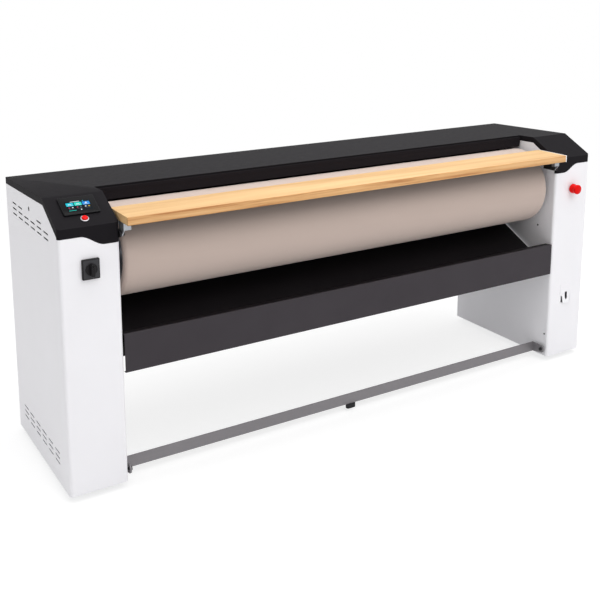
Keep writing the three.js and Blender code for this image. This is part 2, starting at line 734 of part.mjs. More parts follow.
function hoodPlan(inset) {
  const radius = CORNER_RADIUS - inset;
  const corners = [
    ...arc(innerX + CORNER_RADIUS, CORNER_RADIUS, radius, 180, 270, SHEET_CORNER_STEPS),
    ...arc(outerX - CORNER_RADIUS, CORNER_RADIUS, radius, 270, 360, SHEET_CORNER_STEPS),
  ];
  const back = COLUMN_DEPTH - inset;
  const feed = FEED_DEPTH + inset;
  return [
    [-innerX - inset, feed],
    [innerX + inset, feed],
    ...corners,
    [outerX - inset, back],
    [-outerX + inset, back],
    ...corners.map(([u, v]) => [-u, v]).reverse(),
  ];
}

function hoodBlock(inset) {
  const drop = inset / Math.cos(slopeAngle);
  const [front, back] = [-OVERREACH, COLUMN_DEPTH + OVERREACH];
  const profile = [
    [front, heightOn(hoodTop, front) - drop],
    [HOOD_BEND_DEPTH, HOOD_BEND_TOP - drop],
    [back, heightOn(hoodTop, back) - inset],
    [back, belowHood],
    [front, belowHood],
  ];
  return overlap(
    alongX(profile, -outerX - OVERREACH, outerX + OVERREACH),
    alongZ(hoodPlan(inset), belowHood - OVERREACH, HOOD_BEND_TOP + OVERREACH),
  );
}

// Cuts on the sloping control panel are drawn in a frame whose Z is square to the slope.
const onSlope = (geometry) => geometry.rotateX(slopeAngle).translate(0, 0, hoodNoseTop);

function hood() {
  const [left, right] = [-outerX - OVERREACH, outerX + OVERREACH];
  const [bottom, back] = [belowHood - OVERREACH, COLUMN_DEPTH + OVERREACH];
  const underSkirt = alongX([
    [CORNER_RADIUS, bottom],
    [back, bottom],
    [back, heightOn(skirtEdge, back)],
    [HOOD_BEND_DEPTH, heightOn(skirtEdge, HOOD_BEND_DEPTH)],
    [CORNER_RADIUS, heightOn(skirtEdge, CORNER_RADIUS)],
  ], left, right);
  const wave = waveEdge(0);
  const underWave = alongY([
    [left, bottom],
    [right, bottom],
    [right, skirtNose],
    ...[...wave].reverse(),
    ...wave.map(([u, v]) => [-u, v]),
    [left, skirtNose],
  ], -OVERREACH, CORNER_RADIUS + HAIR);
  const halfWidth = SCREEN_WIDTH / 2 - SCREEN_BODY_INSET + SCREEN_CLEARANCE;
  const halfHeight = SCREEN_HEIGHT / 2 - SCREEN_BODY_INSET + SCREEN_CLEARANCE;
  const screenHole = onSlope(block(-columnMidX - halfWidth, -columnMidX + halfWidth,
    SCREEN_UP_SLOPE - halfHeight, SCREEN_UP_SLOPE + halfHeight, -OVERREACH, OVERREACH));
  const stopHole = onSlope(turnedZ(rod(STOP_BARREL_RADIUS + FIT, -OVERREACH, OVERREACH), SMALL_STEPS)
    .translate(-columnMidX, STOP_UP_SLOPE, 0));
  return cut(hoodBlock(0), hoodBlock(HOOD_SHEET), underSkirt, underWave, screenHole, stopHole);
}

part('hood', hood(), BLACK_PAINT);

// ---------- controls on the slope ----------

const slope = place(0, hoodNoseTop, slopeAngle);
const screenPlate = roundedRectangle(-SCREEN_WIDTH / 2, SCREEN_WIDTH / 2, -SCREEN_HEIGHT / 2,
  SCREEN_HEIGHT / 2, SCREEN_CORNER, FILLET_STEPS);
const screenBody = block(-SCREEN_WIDTH / 2 + SCREEN_BODY_INSET, SCREEN_WIDTH / 2 - SCREEN_BODY_INSET,
  -SCREEN_HEIGHT / 2 + SCREEN_BODY_INSET, SCREEN_HEIGHT / 2 - SCREEN_BODY_INSET, -SCREEN_BODY_DEPTH, WELD);
part('touchscreen', join(alongZ(screenPlate, FIT, FIT + SCREEN_PROUD), screenBody)
  .translate(-columnMidX, SCREEN_UP_SLOPE, 0), BLACK_PLASTIC, slope);
part('stop_bezel', turnedZ([
  [STOP_BUTTON_RADIUS + STOP_CLEARANCE, -STOP_BARREL_DEPTH],
  [STOP_BARREL_RADIUS, -STOP_BARREL_DEPTH],
  [STOP_BARREL_RADIUS, FIT],
  [STOP_BEZEL_RADIUS, FIT],
  [STOP_BEZEL_RADIUS, STOP_BEZEL_HEIGHT - STOP_BEZEL_BEVEL],
  [STOP_BEZEL_RADIUS - STOP_BEZEL_BEVEL, STOP_BEZEL_HEIGHT],
  [STOP_BUTTON_RADIUS + STOP_CLEARANCE, STOP_BEZEL_HEIGHT],
  [STOP_BUTTON_RADIUS + STOP_CLEARANCE, -STOP_BARREL_DEPTH],
], SMALL_STEPS).translate(-columnMidX, STOP_UP_SLOPE, 0), BRIGHT_STEEL, slope);
part('stop_button', turnedZ([
  [0, -STOP_BARREL_DEPTH + STOP_BUTTON_SET_IN],
  [STOP_BUTTON_RADIUS, -STOP_BARREL_DEPTH + STOP_BUTTON_SET_IN],
  [STOP_BUTTON_RADIUS, STOP_BUTTON_PROUD - STOP_BUTTON_EDGE],
  [STOP_BUTTON_RADIUS - STOP_BUTTON_EDGE, STOP_BUTTON_PROUD],
  [0, STOP_BUTTON_PROUD + STOP_BUTTON_CROWN],
], SMALL_STEPS).translate(-columnMidX, STOP_UP_SLOPE, 0), RED_PLASTIC, slope);

// ---------- main switch on the left column ----------

const switchPlate = alongY(roundedRectangle(-SWITCH_PLATE_WIDTH / 2, SWITCH_PLATE_WIDTH / 2,
  -SWITCH_PLATE_HEIGHT / 2, SWITCH_PLATE_HEIGHT / 2, SWITCH_PLATE_CORNER, FILLET_STEPS),
-FIT - SWITCH_PLATE_THICKNESS, -FIT);
const switchBore = turnedY(rod(SWITCH_SHAFT_RADIUS + BUTTON_CLEARANCE, -2 * SWITCH_PLATE_THICKNESS,
  SWITCH_PLATE_THICKNESS), SMALL_STEPS);
part('switch_plate', cut(switchPlate, switchBore).translate(-columnMidX, 0, switchHeight), BLACK_PLASTIC);
const knobBack = -FIT - SWITCH_PLATE_THICKNESS - FIT;
const knobDisc = turnedY([
  [0, knobBack - SWITCH_DISC_THICKNESS],
  [SWITCH_DISC_RADIUS - SWITCH_DISC_BEVEL, knobBack - SWITCH_DISC_THICKNESS],
  [SWITCH_DISC_RADIUS, knobBack - SWITCH_DISC_THICKNESS + SWITCH_DISC_BEVEL],
  [SWITCH_DISC_RADIUS, knobBack],
  [SWITCH_SHAFT_RADIUS, knobBack],
  [SWITCH_SHAFT_RADIUS, knobBack + SWITCH_SHAFT_LENGTH],
  [0, knobBack + SWITCH_SHAFT_LENGTH],
], SMALL_STEPS);
const knobGrip = alongY(roundedRectangle(-SWITCH_GRIP_WIDTH / 2, SWITCH_GRIP_WIDTH / 2,
  -SWITCH_GRIP_HEIGHT / 2, SWITCH_GRIP_HEIGHT / 2, SWITCH_GRIP_CORNER, FILLET_STEPS),
knobBack - SWITCH_DISC_THICKNESS - SWITCH_GRIP_DEPTH, knobBack - WELD);
part('switch_knob', join(knobDisc, knobGrip).translate(-columnMidX, 0, switchHeight), BLACK_PLASTIC);

// ---------- emergency stop on the right column ----------

part('estop_stem', turnedY(rod(ESTOP_STEM_RADIUS, ESTOP_REAR + FIT, ESTOP_STEM_BACK), SMALL_STEPS)
  .translate(columnMidX, 0, estopHeight), BLACK_PLASTIC);
part('estop_head', turnedY(ESTOP_PROFILE.map(([radius, behind]) => [radius, ESTOP_FRONT + behind]),
  SMALL_STEPS).translate(columnMidX, 0, estopHeight), RED_PLASTIC);

// ---------- access flap ----------

// A plate that lies flat below its fold, then leans out as a tongue with a slot for the crank.
function accessFlap() {
  const face = -FIT - PANEL_SHEET;
  const tip = face - FLAP_LEAN;
  const side = alongX([
    [-FIT, flapTop],
    [face, flapTop],
    [face, flapBend],
    [tip, flapBottom],
    [tip + PANEL_SHEET, flapBottom],
    [-FIT, flapBend],
  ], columnMidX - FLAP_WIDTH / 2, columnMidX + FLAP_WIDTH / 2);
  const rightEdge = [
    [FLAP_TIP_WIDTH / 2, flapBottom - OVERREACH],
    [FLAP_TIP_WIDTH / 2, flapBottom],
    [FLAP_TONGUE_WIDTH / 2, flapBend - FLAP_SHOULDER],
    [FLAP_WIDTH / 2, flapBend],
    [FLAP_WIDTH / 2, flapTop + OVERREACH],
  ];
  const front = alongY([
    ...rightEdge.map(([u, v]) => [columnMidX + u, v]),
    ...rightEdge.map(([u, v]) => [columnMidX - u, v]).reverse(),
  ], tip - OVERREACH, OVERREACH);
  const slot = alongY(stadium(columnMidX, crankHeight + FLAP_SLOT_RISE, FLAP_SLOT_WIDTH,
    FLAP_SLOT_HEIGHT, SHEET_CORNER_STEPS), tip - OVERREACH, OVERREACH);
  return cut(overlap(side, front), slot);
}

part('access_flap', accessFlap(), WHITE_PAINT);

// ---------- roll and its bearings ----------

const rollAxis = place(ROLL_DEPTH, rollHeight);
const paddingRadius = ROLL_RADIUS - CLOTH_THICKNESS - FIT;
const tubeRadius = paddingRadius - PADDING_THICKNESS - FIT;
const tubeHalf = rollHalf - TUBE_SET_BACK;
part('roll_cloth', turnedX(ring(ROLL_RADIUS - CLOTH_THICKNESS, ROLL_RADIUS, -rollHalf, rollHalf),
  ROUND_STEPS), ROLL_CLOTH, rollAxis);
const paddingHalf = rollHalf - PADDING_SET_BACK;
part('roll_padding', turnedX(ring(paddingRadius - PADDING_THICKNESS, paddingRadius, -paddingHalf,
  paddingHalf), ROUND_STEPS), ROLL_FELT, rollAxis);
part('roll_tube', turnedX(ring(tubeRadius - TUBE_WALL, tubeRadius, -tubeHalf, tubeHalf), ROUND_STEPS),
  GREY_STEEL, rollAxis);

function rollEnd(side) {
  const discOut = tubeHalf - END_DISC_SET_BACK;
  const hubOut = rollHalf + HUB_OUT;
  const tip = innerX + (side < 0 ? JOURNAL_LEFT_REACH : JOURNAL_RIGHT_REACH);
  return turnedX([
    [0, hubOut - HUB_LENGTH],
    [HUB_RADIUS, hubOut - HUB_LENGTH],
    [HUB_RADIUS, discOut - END_DISC],
    [tubeRadius - TUBE_WALL - FIT, discOut - END_DISC],
    [tubeRadius - TUBE_WALL - FIT, discOut],
    [HUB_RADIUS, discOut],
    [HUB_RADIUS, hubOut],
    [JOURNAL_RADIUS, hubOut],
    [JOURNAL_RADIUS, tip],
    [0, tip],
  ], SMALL_STEPS);
}

function bearing() {
  const start = plateBackX + FIT;
  const flangeEnd = start + BEARING_FLANGE_THICKNESS;
  const half = BEARING_FLANGE / 2;
  const flange = alongX(roundedRectangle(-half, half, -half, half, BEARING_FLANGE_CORNER, FILLET_STEPS),
    start, flangeEnd);
  const housing = turnedX(rod(BEARING_HOUSING_RADIUS, start + WELD, start + BEARING_LENGTH), SMALL_STEPS);
  const bore = turnedX(rod(JOURNAL_RADIUS + FIT, start - OVERREACH, start + BEARING_LENGTH + OVERREACH),
    SMALL_STEPS);
  const reach = half - BEARING_BOLT_INSET;
  const bolts = [[-1, -1], [-1, 1], [1, -1], [1, 1]].map(([u, v]) =>
    turnedX(rod(BEARING_BOLT_RADIUS, flangeEnd - WELD, flangeEnd + BEARING_BOLT_HEAD), BOLT_FLATS)
      .translate(0, u * reach, v * reach));
  return cut(join(flange, housing, ...bolts), bore);
}

for (const { side, at } of sides) {
  part(`${at}_roll_end`, mirrored(rollEnd(side), side), BRIGHT_STEEL, rollAxis);
  part(`${at}_bearing`, mirrored(bearing(), side), CAST_IRON, rollAxis);
}

// ---------- chain drive ----------

const sprocketX = plateBackX + BEARING_LENGTH + SPROCKET_GAP + SPROCKET_THICKNESS;

function sprocket(teeth, bore) {
  const root = pitchRadius(teeth) - TOOTH_HEIGHT / 2;
  const corners = [
    ...TOOTH_ROOT.map((share) => [share, root]),
    ...TOOTH_TIP.map((share) => [share, tipRadius(teeth)]),
  ];
  const rim = Array.from({ length: teeth }, (_, tooth) => corners.map(([share, radius]) => {
    const angle = (2 * Math.PI * (tooth + share)) / teeth;
    return [radius * Math.cos(angle), radius * Math.sin(angle)];
  })).flat();
  const [from, to] = [sprocketX - SPROCKET_THICKNESS, sprocketX + SPROCKET_THICKNESS];
  const hub = turnedX(rod(bore + HUB_WALL, from, to), SMALL_STEPS);
  const hole = turnedX(rod(bore + FIT, from - OVERREACH, to + OVERREACH), SMALL_STEPS);
  const disc = alongX(rim, sprocketX - SPROCKET_THICKNESS / 2, sprocketX + SPROCKET_THICKNESS / 2);
  return cut(join(disc, hub), hole);
}

part('roll_sprocket', sprocket(ROLL_TEETH, JOURNAL_RADIUS), CAST_IRON, rollAxis);

function chainLoop(offset) {
  const rollR = tipRadius(ROLL_TEETH) + offset;
  const driveR = tipRadius(DRIVE_TEETH) + offset;
  const lean = THREE.MathUtils.radToDeg(Math.asin((rollR - driveR) / (rollHeight - DRIVE_HEIGHT)));
  return [
    ...arc(ROLL_DEPTH, rollHeight, rollR, -lean, 180 + lean, CHAIN_STEPS),
    ...arc(ROLL_DEPTH, DRIVE_HEIGHT, driveR, 180 + lean, 360 - lean, CHAIN_STEPS),
  ];
}

part('drive_chain', cut(
  alongX(chainLoop(CHAIN_GAP + CHAIN_THICKNESS), sprocketX - CHAIN_WIDTH / 2, sprocketX + CHAIN_WIDTH / 2),
  alongX(chainLoop(CHAIN_GAP), sprocketX - CHAIN_WIDTH, sprocketX + CHAIN_WIDTH),
), CAST_IRON);

const driveAxis = place(ROLL_DEPTH, DRIVE_HEIGHT);
const gearboxFace = gearboxX - GEARBOX_WIDTH / 2;
const driveShaft = turnedX(rod(DRIVE_SHAFT_RADIUS, sprocketX - 2 * SPROCKET_THICKNESS, gearboxFace - FIT),
  SMALL_STEPS);
part('drive_sprocket', join(sprocket(DRIVE_TEETH, DRIVE_SHAFT_RADIUS - 2 * FIT), driveShaft), CAST_IRON,
  driveAxis);

function gearbox() {
  const half = GEARBOX_DEPTH / 2;
  const stubHalf = CRANK_STUB / 2;
  const far = gearboxFace + GEARBOX_WIDTH;
  const casing = alongX(roundedRectangle(-half, half, -WORM_DROP - GEARBOX_BELOW, GEARBOX_ABOVE,
    GEARBOX_FILLET, FILLET_STEPS), gearboxFace, far);
  const collar = turnedX(rod(DRIVE_SHAFT_RADIUS + HUB_WALL, gearboxFace + WELD, far + GEARBOX_COLLAR_OUT),
    SMALL_STEPS);
  const stub = block(gearboxX - stubHalf, gearboxX + stubHalf, -half - CRANK_STUB_LENGTH, -half + WELD,
    -WORM_DROP - stubHalf, -WORM_DROP + stubHalf);
  const nose = turnedY(rod(CRANK_NOSE_RADIUS, -half - CRANK_NOSE, -half + WELD), SMALL_STEPS)
    .translate(gearboxX, 0, -WORM_DROP);
  return join(casing, collar, stub, nose);
}

part('gearbox', gearbox(), CAST_ALUMINIUM, driveAxis);
const motorStart = GEARBOX_DEPTH / 2 + FIT;
part('drive_motor', turnedY([
  [0, motorStart],
  [MOTOR_FLANGE_RADIUS, motorStart],
  [MOTOR_FLANGE_RADIUS, motorStart + MOTOR_FLANGE],
  [MOTOR_RADIUS, motorStart + MOTOR_FLANGE],
  [MOTOR_RADIUS, motorStart + MOTOR_LENGTH - MOTOR_CAP],
  [MOTOR_RADIUS - MOTOR_CAP_BEVEL, motorStart + MOTOR_LENGTH],
  [0, motorStart + MOTOR_LENGTH],
], SMALL_STEPS).translate(gearboxX, 0, -WORM_DROP), MOTOR_BLUE_GREY, driveAxis);

// ---------- heated bed, shown open by BED_OPEN ----------

const bedAxis = place(ROLL_DEPTH + BED_OPEN, rollHeight);
const shoeInner = ROLL_RADIUS + BED_GAP;
const shoeOuter = shoeInner + BED_THICKNESS;
const coverOuter = shoeOuter + BED_COVER_RISE;

const sector = (inner, outer, from, to) => [
  ...arc(0, 0, outer, from, to, BED_STEPS),
  ...arc(0, 0, inner, to, from, BED_STEPS),
];

part('bed_shoe', alongX(sector(shoeInner, shoeOuter, BED_LOW_ANGLE, BED_TOP_ANGLE), -bedHalf, bedHalf),
  POLISHED_ALUMINIUM, bedAxis);

// A hairpin element: two straight legs along the shoe and a return bend at the right end.
function heatingElement() {
  const centre = shoeOuter + FIT + ELEMENT_RADIUS;
  const legs = ELEMENT_ANGLES.map((angle) =>
    turnedX(rod(ELEMENT_RADIUS, -elementHalf, elementHalf), PIN_STEPS)
      .translate(0, centre * Math.cos(radians(angle)), centre * Math.sin(radians(angle))));
  const [from, to] = [Math.min(...ELEMENT_ANGLES), Math.max(...ELEMENT_ANGLES)];
  const bend = alongX(sector(centre - ELEMENT_BEND / 2, centre + ELEMENT_BEND / 2, from, to),
    elementHalf - 2 * ELEMENT_RADIUS, elementHalf);
  return join(...legs, bend);
}

part('heating_element', heatingElement(), BRIGHT_STEEL, bedAxis);
const legAngle = THREE.MathUtils.radToDeg(BED_COVER_SHEET / coverOuter);
part('bed_cover', alongX([
  ...arc(0, 0, coverOuter, BED_LOW_ANGLE, BED_TOP_ANGLE, BED_STEPS),
  ...arc(0, 0, shoeOuter + FIT, BED_TOP_ANGLE, BED_TOP_ANGLE - legAngle, 1),
  ...arc(0, 0, coverOuter - BED_COVER_SHEET, BED_TOP_ANGLE - legAngle, BED_LOW_ANGLE + legAngle, BED_STEPS),
  ...arc(0, 0, shoeOuter + FIT, BED_LOW_ANGLE + legAngle, BED_LOW_ANGLE, 1),
], -bedHalf, bedHalf), ZINC, bedAxis);

// An end plate that stands back from the working face of the shoe, with an arm and two guides.
function carrier() {
  const start = bedHalf + FIT;
  const end = start + CARRIER_THICKNESS;
  const plate = alongX(sector(shoeInner + CARRIER_SET_BACK, coverOuter, BED_LOW_ANGLE, BED_TOP_ANGLE),
    start, end);
  const armEnd = CARRIER_ARM_END - ROLL_DEPTH - BED_OPEN;
  const arm = block(start, end, shoeOuter, armEnd, -CARRIER_ARM_HALF, CARRIER_ARM_HALF);
  const guideFrom = GUIDE_START - ROLL_DEPTH - BED_OPEN;
  const gap = RAIL_HALF_HEIGHT + RAIL_CLEARANCE;
  const guide = (low) => block(end - WELD, innerX - RAIL_SIDE_GAP, guideFrom, guideFrom + GUIDE_LENGTH,
    low, low + GUIDE_PAD);
  return join(plate, arm, guide(gap), guide(-gap - GUIDE_PAD));
}

for (const { side, at } of sides) {
  part(`${at}_bed_carrier`, mirrored(carrier(), side), ZINC, bedAxis);
  const rail = block(bedHalf + FIT + CARRIER_THICKNESS + RAIL_SIDE_GAP, innerX - FIT, RAIL_START,
    RAIL_START + RAIL_LENGTH, rollHeight - RAIL_HALF_HEIGHT, rollHeight + RAIL_HALF_HEIGHT);
  part(`${at}_bed_rail`, mirrored(rail, side), BRIGHT_STEEL);
}

// The cams are spirals whose radius grows by the bed's travel over CAM_LIFT_ANGLE.
function camOutline() {
  return Array.from({ length: CAM_STEPS }, (_, i) => {
    const lead = (FULL_TURN * i) / CAM_STEPS;
    const held = CAM_LIFT_ANGLE + CAM_HELD_ANGLE;
    const lift = lead <= CAM_LIFT_ANGLE ? lead / CAM_LIFT_ANGLE
      : Math.max(0, Math.min(1, (CAM_FALL_ANGLE - lead) / (CAM_FALL_ANGLE - held)));
    const angle = radians(180 - lead);
    const radius = CAM_RADIUS + BED_OPEN * lift;
    return [radius * Math.cos(angle), radius * Math.sin(angle)];
  });
}

const pressAxis = place(pressDepth, rollHeight);
const camFrom = bedHalf + FIT;
const shaftEnd = plateBackX + BEARING_LENGTH;
part('press_shaft', join(
  turnedX(rod(PRESS_SHAFT_RADIUS, -shaftEnd, plateBackX + PRESS_SHAFT_RIGHT_REACH), SMALL_STEPS),
  alongX(camOutline(), camFrom, camFrom + CARRIER_THICKNESS),
  alongX(camOutline(), -camFrom - CARRIER_THICKNESS, -camFrom),
), BRIGHT_STEEL, pressAxis);

function pressMotor() {
  const start = plateBackX + FIT;
  const half = PRESS_MOTOR_SIZE / 2;
  const flangeHalf = PRESS_FLANGE / 2;
  const flange = alongX(roundedRectangle(-flangeHalf, flangeHalf, -flangeHalf, flangeHalf,
    PRESS_FLANGE_CORNER, FILLET_STEPS), start, start + PRESS_FLANGE_THICKNESS);
  const body = alongX(roundedRectangle(-half, half, -half, half, PRESS_MOTOR_CORNER, FILLET_STEPS),
    start + WELD, start + PRESS_MOTOR_LENGTH);
  const bore = turnedX(rod(PRESS_SHAFT_RADIUS + BUTTON_CLEARANCE, start - OVERREACH, shaftEnd + WELD),
    SMALL_STEPS);
  return cut(join(flange, body), bore);
}

part('press_motor', mirrored(pressMotor(), -1), MOTOR_BLUE_GREY, pressAxis);

// ---------- electrical box ----------

const boxOutline = roundedRectangle(BOX_FRONT, BOX_FRONT + BOX_DEPTH, BOX_BOTTOM, BOX_BOTTOM + BOX_HEIGHT,
  BOX_FILLET, FILLET_STEPS);
part('electrical_box', mirrored(alongX(boxOutline, plateBackX + FIT, plateBackX + FIT + BOX_WIDTH), -1),
  CABINET_GREY);

// ---------- feed board ----------

const boardAxis = place(BOARD_PIVOT_DEPTH, boardPivotHeight);
const boardHalf = innerX - BOARD_END_GAP;
const boardBottom = boardTop - BOARD_THICKNESS;
const fromPivot = (points) => points.map(([y, z]) => [y - BOARD_PIVOT_DEPTH, z - boardPivotHeight]);

part('feed_board', alongX(fromPivot([
  [BOARD_FRONT, boardBottom + BOARD_EASE],
  [BOARD_FRONT + BOARD_EASE, boardBottom],
  [BOARD_BACK - BOARD_BEVEL_DEPTH, boardBottom],
  [BOARD_BACK, boardBottom + BOARD_BEVEL_RISE],
  [BOARD_BACK, boardTop - BOARD_EASE],
  [BOARD_BACK - BOARD_EASE, boardTop],
  [BOARD_FRONT + BOARD_EASE, boardTop],
  [BOARD_FRONT, boardTop - BOARD_EASE],
]), -boardHalf, boardHalf), BEECH, boardAxis);

const bracketTop = boardBottom - FIT;
const webRearHeight = bracketTop - BRACKET_SHEET - BRACKET_WEB;

function bracket() {
  const web = alongX(fromPivot([
    [BRACKET_FRONT, bracketTop],
    [BRACKET_FRONT, bracketTop - BRACKET_TAB],
    ...arc(BOARD_PIVOT_DEPTH, boardPivotHeight, BRACKET_BOSS, 190, 350, BOSS_STEPS),
    [BOARD_PIVOT_DEPTH + 2 * BRACKET_BOSS, webRearHeight],
    [BRACKET_BACK, webRearHeight],
    [BRACKET_BACK, bracketTop],
  ]), boardHalf - BRACKET_SHEET, boardHalf);
  const top = bracketTop - boardPivotHeight;
  const front = BRACKET_FRONT - BOARD_PIVOT_DEPTH;
  const back = BRACKET_BACK - BOARD_PIVOT_DEPTH;
  const flange = block(boardHalf - BRACKET_WIDTH, boardHalf, front, back, top - BRACKET_SHEET, top);
  const tab = block(boardHalf - BRACKET_WIDTH, boardHalf, front, front + BRACKET_SHEET, top - BRACKET_TAB,
    top);
  const hole = turnedX(rod(BOARD_PIN_RADIUS + BUTTON_CLEARANCE, boardHalf - BRACKET_SHEET - OVERREACH,
    boardHalf + OVERREACH), SMALL_STEPS);
  return cut(join(web, flange, tab), hole);
}

function boardHinge() {
  const face = innerX - FIT;
  const plateFace = face - HINGE_PLATE;
  const lugTop = webRearHeight - FIT;
  const lugBack = BRACKET_BACK - HINGE_SET_BACK;
  const headFrom = boardHalf - BRACKET_SHEET - BUTTON_CLEARANCE - BOARD_PIN_HEAD_LENGTH;
  const rim = BRACKET_BOSS + HINGE_RIM;
  const plate = alongX(fromPivot([
    ...arc(BOARD_PIVOT_DEPTH, boardPivotHeight, rim, 110, 270, BOSS_STEPS),
    [lugBack, boardPivotHeight - rim],
    [lugBack, lugTop],
    [lugBack - HINGE_LUG, lugTop],
  ]), plateFace, face);
  const lug = alongX(fromPivot([
    [lugBack - HINGE_LUG, lugTop - HINGE_LUG],
    [lugBack, lugTop - HINGE_LUG],
    [lugBack, lugTop],
    [lugBack - HINGE_LUG, lugTop],
  ]), boardHalf - BRACKET_SHEET, face);
  const pin = turnedX([
    [0, headFrom],
    [BOARD_PIN_HEAD, headFrom],
    [BOARD_PIN_HEAD, headFrom + BOARD_PIN_HEAD_LENGTH],
    [BOARD_PIN_RADIUS, headFrom + BOARD_PIN_HEAD_LENGTH],
    [BOARD_PIN_RADIUS, plateFace + WELD],
    [0, plateFace + WELD],
  ], SMALL_STEPS);
  return join(plate, lug, pin);
}

for (const { side, at } of sides) {
  part(`${at}_board_bracket`, mirrored(bracket(), side), ZINC, boardAxis);
  part(`${at}_board_hinge`, mirrored(boardHinge(), side), BLACK_OXIDE, boardAxis);
}

// ---------- finger guard ----------

const guardAxis = place(GUARD_FRONT + GUARD_THICKNESS / 2, guardPivotHeight);
const guardHalf = innerX - GUARD_END_GAP;
const guardLow = guardTop - GUARD_HEIGHT - guardPivotHeight;
const guardFace = alongY([
  ...arc(guardHalf - GUARD_CORNER, guardLow + GUARD_CORNER, GUARD_CORNER, -90, 0, SHEET_CORNER_STEPS),
  [guardHalf, guardTop - guardPivotHeight],
  [-guardHalf, guardTop - guardPivotHeight],
  ...arc(-guardHalf + GUARD_CORNER, guardLow + GUARD_CORNER, GUARD_CORNER, 180, 270, SHEET_CORNER_STEPS),
], -GUARD_THICKNESS / 2, GUARD_THICKNESS / 2);
const guardPin = turnedX(rod(GUARD_PIN_RADIUS, -innerX + BUTTON_CLEARANCE, innerX - BUTTON_CLEARANCE),
  PIN_STEPS);
part('finger_guard', join(guardFace, guardPin), BLACK_PAINT, guardAxis);

// ---------- linen tray ----------

function trayProfile() {
  const t = TRAY_SHEET;
  const shelf = lowerBeamBottom + BEAM_HEIGHT + FIT;
  const rise = (shelf - trayValleyHeight) / (trayFloorBack - TRAY_VALLEY_DEPTH);
  const dip = t * Math.sqrt(1 + rise * rise);
  return [
    [0, trayLipBottom],
    [TRAY_LIP_HEM, trayLipBottom],
    [TRAY_LIP_HEM, trayLipBottom + t],
    [t, trayLipBottom + t],
    [t, trayLipTop - t],
    [TRAY_LIP_DEPTH - t, trayLipTop - TRAY_LIP_FALL - t],
    [TRAY_VALLEY_DEPTH - t, trayValleyHeight - dip],
    [trayFloorBack, shelf],
    [lowerBeamBack, shelf],
    [lowerBeamBack, shelf + t],
    [trayFloorBack - t * rise, shelf + t],
    [TRAY_VALLEY_DEPTH, trayValleyHeight + t],
    [TRAY_LIP_DEPTH, trayLipTop - TRAY_LIP_FALL],
    [t, trayLipTop],
    [0, trayLipTop - t],
  ];
}

part('linen_tray', alongX(trayProfile(), -innerX + TRAY_END_GAP, innerX - TRAY_END_GAP), TRAY_PAINT);

// ---------- foot bar ----------

const pedalAxis = place(PEDAL_PIVOT_DEPTH, PEDAL_PIVOT_HEIGHT);
const pedalHalf = innerX - PEDAL_END_GAP;
const pedalLow = PEDAL_BOTTOM - PEDAL_PIVOT_HEIGHT;
const pedalBackY = PEDAL_BACK - PEDAL_PIVOT_DEPTH;

function pedalBar() {
  const bar = block(-pedalHalf, pedalHalf, pedalBackY - PEDAL_THICKNESS, pedalBackY, pedalLow,
    pedalLow + PEDAL_HEIGHT);
  const arm = () => alongX([
    [pedalBackY, pedalLow],
    [pedalBackY, pedalLow + PEDAL_HEIGHT],
    ...arc(0, 0, PEDAL_ARM_NOSE, 90, 270, BOSS_STEPS),
  ], pedalHalf - PEDAL_THICKNESS, pedalHalf);
  return join(bar, arm(), mirrored(arm(), -1));
}

function pedalPin() {
  const armFace = pedalHalf - PEDAL_THICKNESS - FIT;
  const end = plateBackX + PEDAL_PIN_INSIDE;
  return turnedX([
    [0, armFace - PEDAL_PIN_HEAD_LENGTH],
    [PEDAL_PIN_HEAD, armFace - PEDAL_PIN_HEAD_LENGTH],
    [PEDAL_PIN_HEAD, armFace],
    [PEDAL_PIN_RADIUS, armFace],
    [PEDAL_PIN_RADIUS, end],
    [0, end],
  ], SMALL_STEPS);
}

const pinHole = (side) => mirrored(turnedX(rod(PEDAL_PIN_RADIUS + FIT, pedalHalf - 2 * PEDAL_THICKNESS,
  pedalHalf + OVERREACH), SMALL_STEPS), side);
part('pedal_bar', cut(pedalBar(), pinHole(-1), pinHole(1)), GREY_STEEL, pedalAxis);
for (const { side, at } of sides) {
  part(`${at}_pedal_pivot`, mirrored(pedalPin(), side), BLACK_OXIDE, pedalAxis);
}
const bumperMiddle = pedalBackY - PEDAL_THICKNESS / 2;
const bumperOutline = roundedRectangle(BUMPER_OFFSET - BUMPER_WIDTH / 2, BUMPER_OFFSET + BUMPER_WIDTH / 2,
  bumperMiddle - BUMPER_DEPTH / 2, bumperMiddle + BUMPER_DEPTH / 2, BUMPER_CORNER, FILLET_STEPS);
part('pedal_bumper', alongZ(bumperOutline, BUMPER_BOTTOM - PEDAL_PIVOT_HEIGHT, pedalLow - FIT), RUBBER,
  pedalAxis);

export default machine;
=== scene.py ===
"""Looks of a flatwork ironer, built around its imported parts.

Lengths are in metres. +X runs along the roll, +Y to the back and +Z up; the origin is on the floor.
"""

import json
import math

